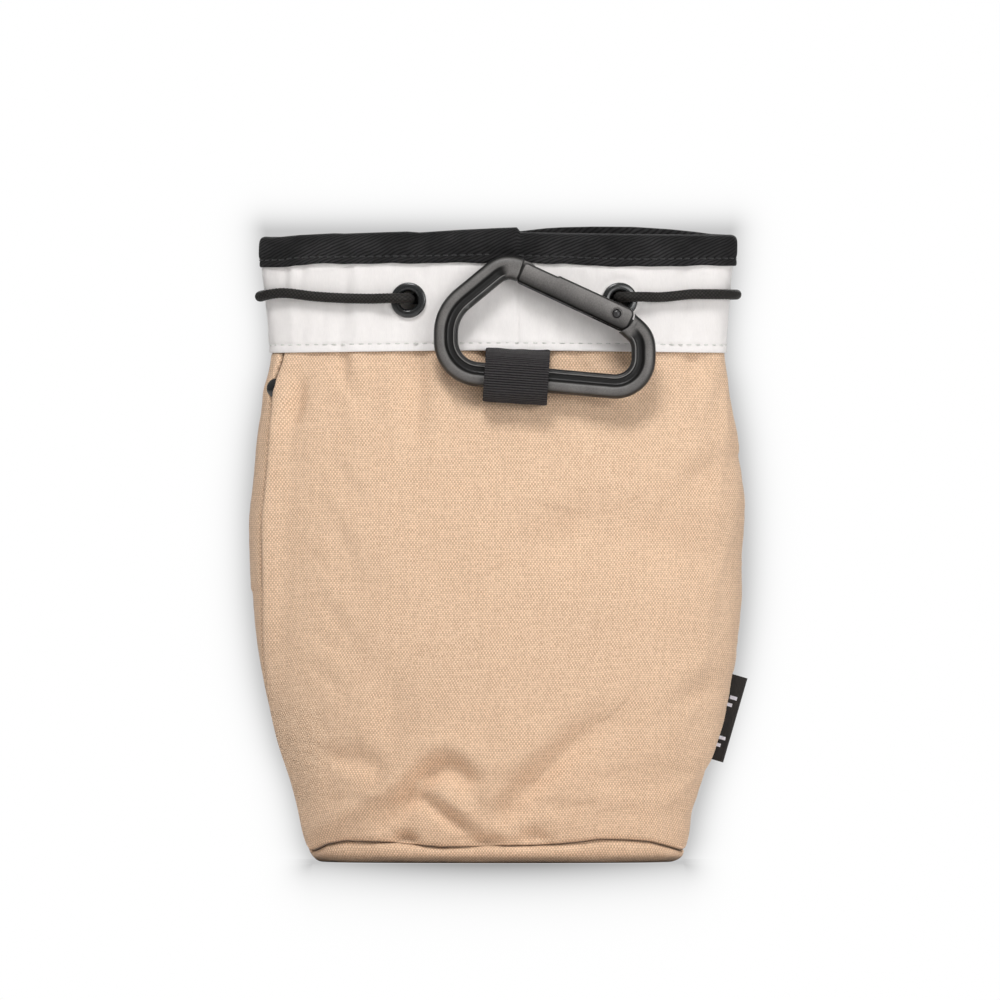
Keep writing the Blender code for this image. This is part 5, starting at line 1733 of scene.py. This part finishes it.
def wall_shade(g):
    """Painted shadow, by the distance from the bag's outline as the camera sees it on the wall."""
    x, _, z = g.split(g.coords("Object"))
    in_x, in_y, in_z = g.split(g.node("NewGeometry", out="Incoming"))
    # back along the line of sight to y = 0
    reach = BACKDROP_Y / (in_y * -1.0).at_least(0.5)
    x, z = x * (1 / MM) + in_x * reach, z * (1 / MM) + in_z * reach
    # the outline's half width by height, both scaled to fit 0 to 1
    height_scale, width_scale = 200.0, 100.0
    curve = g.add("FloatCurve")
    points = curve.mapping.curves[0].points
    for k, height in enumerate([0, 6, 14, 24, 40, 65, 98, 128, 146, 159, 187, 197]):
        at, value = height / height_scale, float(smooth_curve(HALF_WIDTH, height)) / width_scale
        if k < 2:
            points[k].location = (at, value)
        else:
            points.new(at, value)
    curve.mapping.update()
    g.put(curve.inputs["Value"], z * (1 / height_scale))
    half_width = Signal(g, curve.outputs[0]) * width_scale
    side = (abs(x) - half_width).at_least(0.0) * 0.96
    above = (z - SECTION_TOP).at_least(0.0)
    return halo((side * side + above * above).root(), HALO_DEPTH, width=4.7, power=1.3)


def floor_shade(g):
    """Painted contact shadow round the base, plus a wide soft one."""
    x, y, _ = g.split(g.coords("Object"))
    x, y = x * (1 / MM), y * (1 / MM)
    oval_x, oval_y = x * (1 / FOOT_HALF_WIDTH), y * (1 / FOOT_HALF_DEPTH)
    oval = (oval_x * oval_x + oval_y * oval_y).root()
    from_middle = (x * x + y * y).root()
    outside = (1.0 - 1.0 / oval.at_least(0.01)).at_least(0.0)
    from_base = from_middle * outside
    # the wide painted shadow is stretched along the line of sight, so that a low camera sees an even
    # shade
    way_x, way_y, up = g.split(g.node("NewGeometry", out="Incoming"))
    flat = (way_x * way_x + way_y * way_y).root().at_least(0.001)
    way_x, way_y = way_x / flat, way_y / flat
    along, across = x * way_x + y * way_y, x * way_y - y * way_x

    def footprint(a, b):
        """The footprint's half width in that direction."""
        return ((abs(a) * FOOT_HALF_WIDTH) ** 2.0 + (abs(b) * FOOT_HALF_DEPTH) ** 2.0).root()

    def past(value, a, b):
        return (abs(value) - footprint(a, b)).at_least(0.0)

    # both distances are in halo widths
    past_along = past(along, way_x, way_y) * (up.at_least(0.015) * (1 / 4.95))
    past_across = past(across, way_y, way_x) * (1 / 4.6)
    near_side = past_along / (past_along + past_across + 0.004)
    near_side = near_side * along.rise(-5.0, 5.0)
    corner = (abs(across) / footprint(way_y, way_x)).at_most(1.1)
    past_along = past_along + near_side * 0.7 * (corner * corner)
    low_view = halo((past_along * past_along + past_across * past_across).root(),
                    depth=HALO_DEPTH + near_side * 0.180, width=1.0, power=1.3 - near_side * 0.3)
    high_view = halo(from_base * (1 / 24.0), depth=0.24, width=1.0, power=1.2)
    wide = g.mix_value(up.rise(0.03, 0.20), low_view, high_view)
    # painted contact shadow from ambient occlusion close to the base
    occlusion = g.occlusion(samples=8, distance=0.03)
    close = math.e ** (from_base * (-1 / 4.0))
    strength = occlusion.ramp(0.3, 0.9, 0.42, 0.0) * up.ramp(0.03, 0.16, 0.15, 1.0, smooth=True)
    return wide * (1.0 - close * strength)


stage_plane("floor", [(-7000, -7000, 0), (7000, -7000, 0), (7000, 7000, 0), (-7000, 7000, 0)],
            floor_shade)
stage_plane("backdrop", [(-400, BACKDROP_Y, 0), (400, BACKDROP_Y, 0), (400, BACKDROP_Y, 600),
                         (-400, BACKDROP_Y, 600)], wall_shade, head_on=True)


# ============================================================ room, lights and camera (metres)
def room():
    """White where the camera sees it; as a light it is brightest above and dim low down."""
    world = bpy.data.worlds.new("studio")
    bpy.context.scene.world = world
    g = Graph(world)
    light = g.split(g.coords("Generated"))[2].ramp(-0.35, 0.9, 0.07, 0.30)
    strength = g.mix_value(g.node("LightPath", out="Is Camera Ray"), light, 1.0)
    g.finish("OutputWorld", g.node("Background", {0: (1.0, 1.0, 1.0), 1: strength}))


def area(name, location, size, power):
    """A rectangular light aimed at the middle of the bag."""
    data = bpy.data.lights.new(name, "AREA")
    data.shape = "RECTANGLE"
    data.size, data.size_y = size
    data.energy = power
    ob = link_object(name, data)
    ob.location = location
    aim = Vector((0, 0, 0.10)) - Vector(location)
    ob.rotation_euler = aim.to_track_quat("-Z", "Y").to_euler()


def camera(lens=540, sensor=36, view_width=0.3125):
    """A level camera that sees view_width across at the bag."""
    data = bpy.data.cameras.new("camera")
    data.lens = lens
    data.sensor_width = sensor
    data.clip_end = 20
    ob = link_object("camera", data)
    ob.location = (0.0006, -view_width * lens / sensor, 0.1131)
    ob.rotation_euler = (math.radians(90), 0, 0)
    bpy.context.scene.camera = ob


room()
area("key", location=(-0.12, -0.80, 1.10), size=(0.40, 0.34), power=8.5)
area("front", location=(0.95, -1.5, 0.45), size=(0.9, 0.7), power=10.1)
area("back_fill", location=(0.3, 1.3, 1.0), size=(1.0, 0.8), power=15.0)
camera()
bpy.context.scene.view_settings.view_transform = "Standard"
bpy.context.scene.view_settings.look = "None"
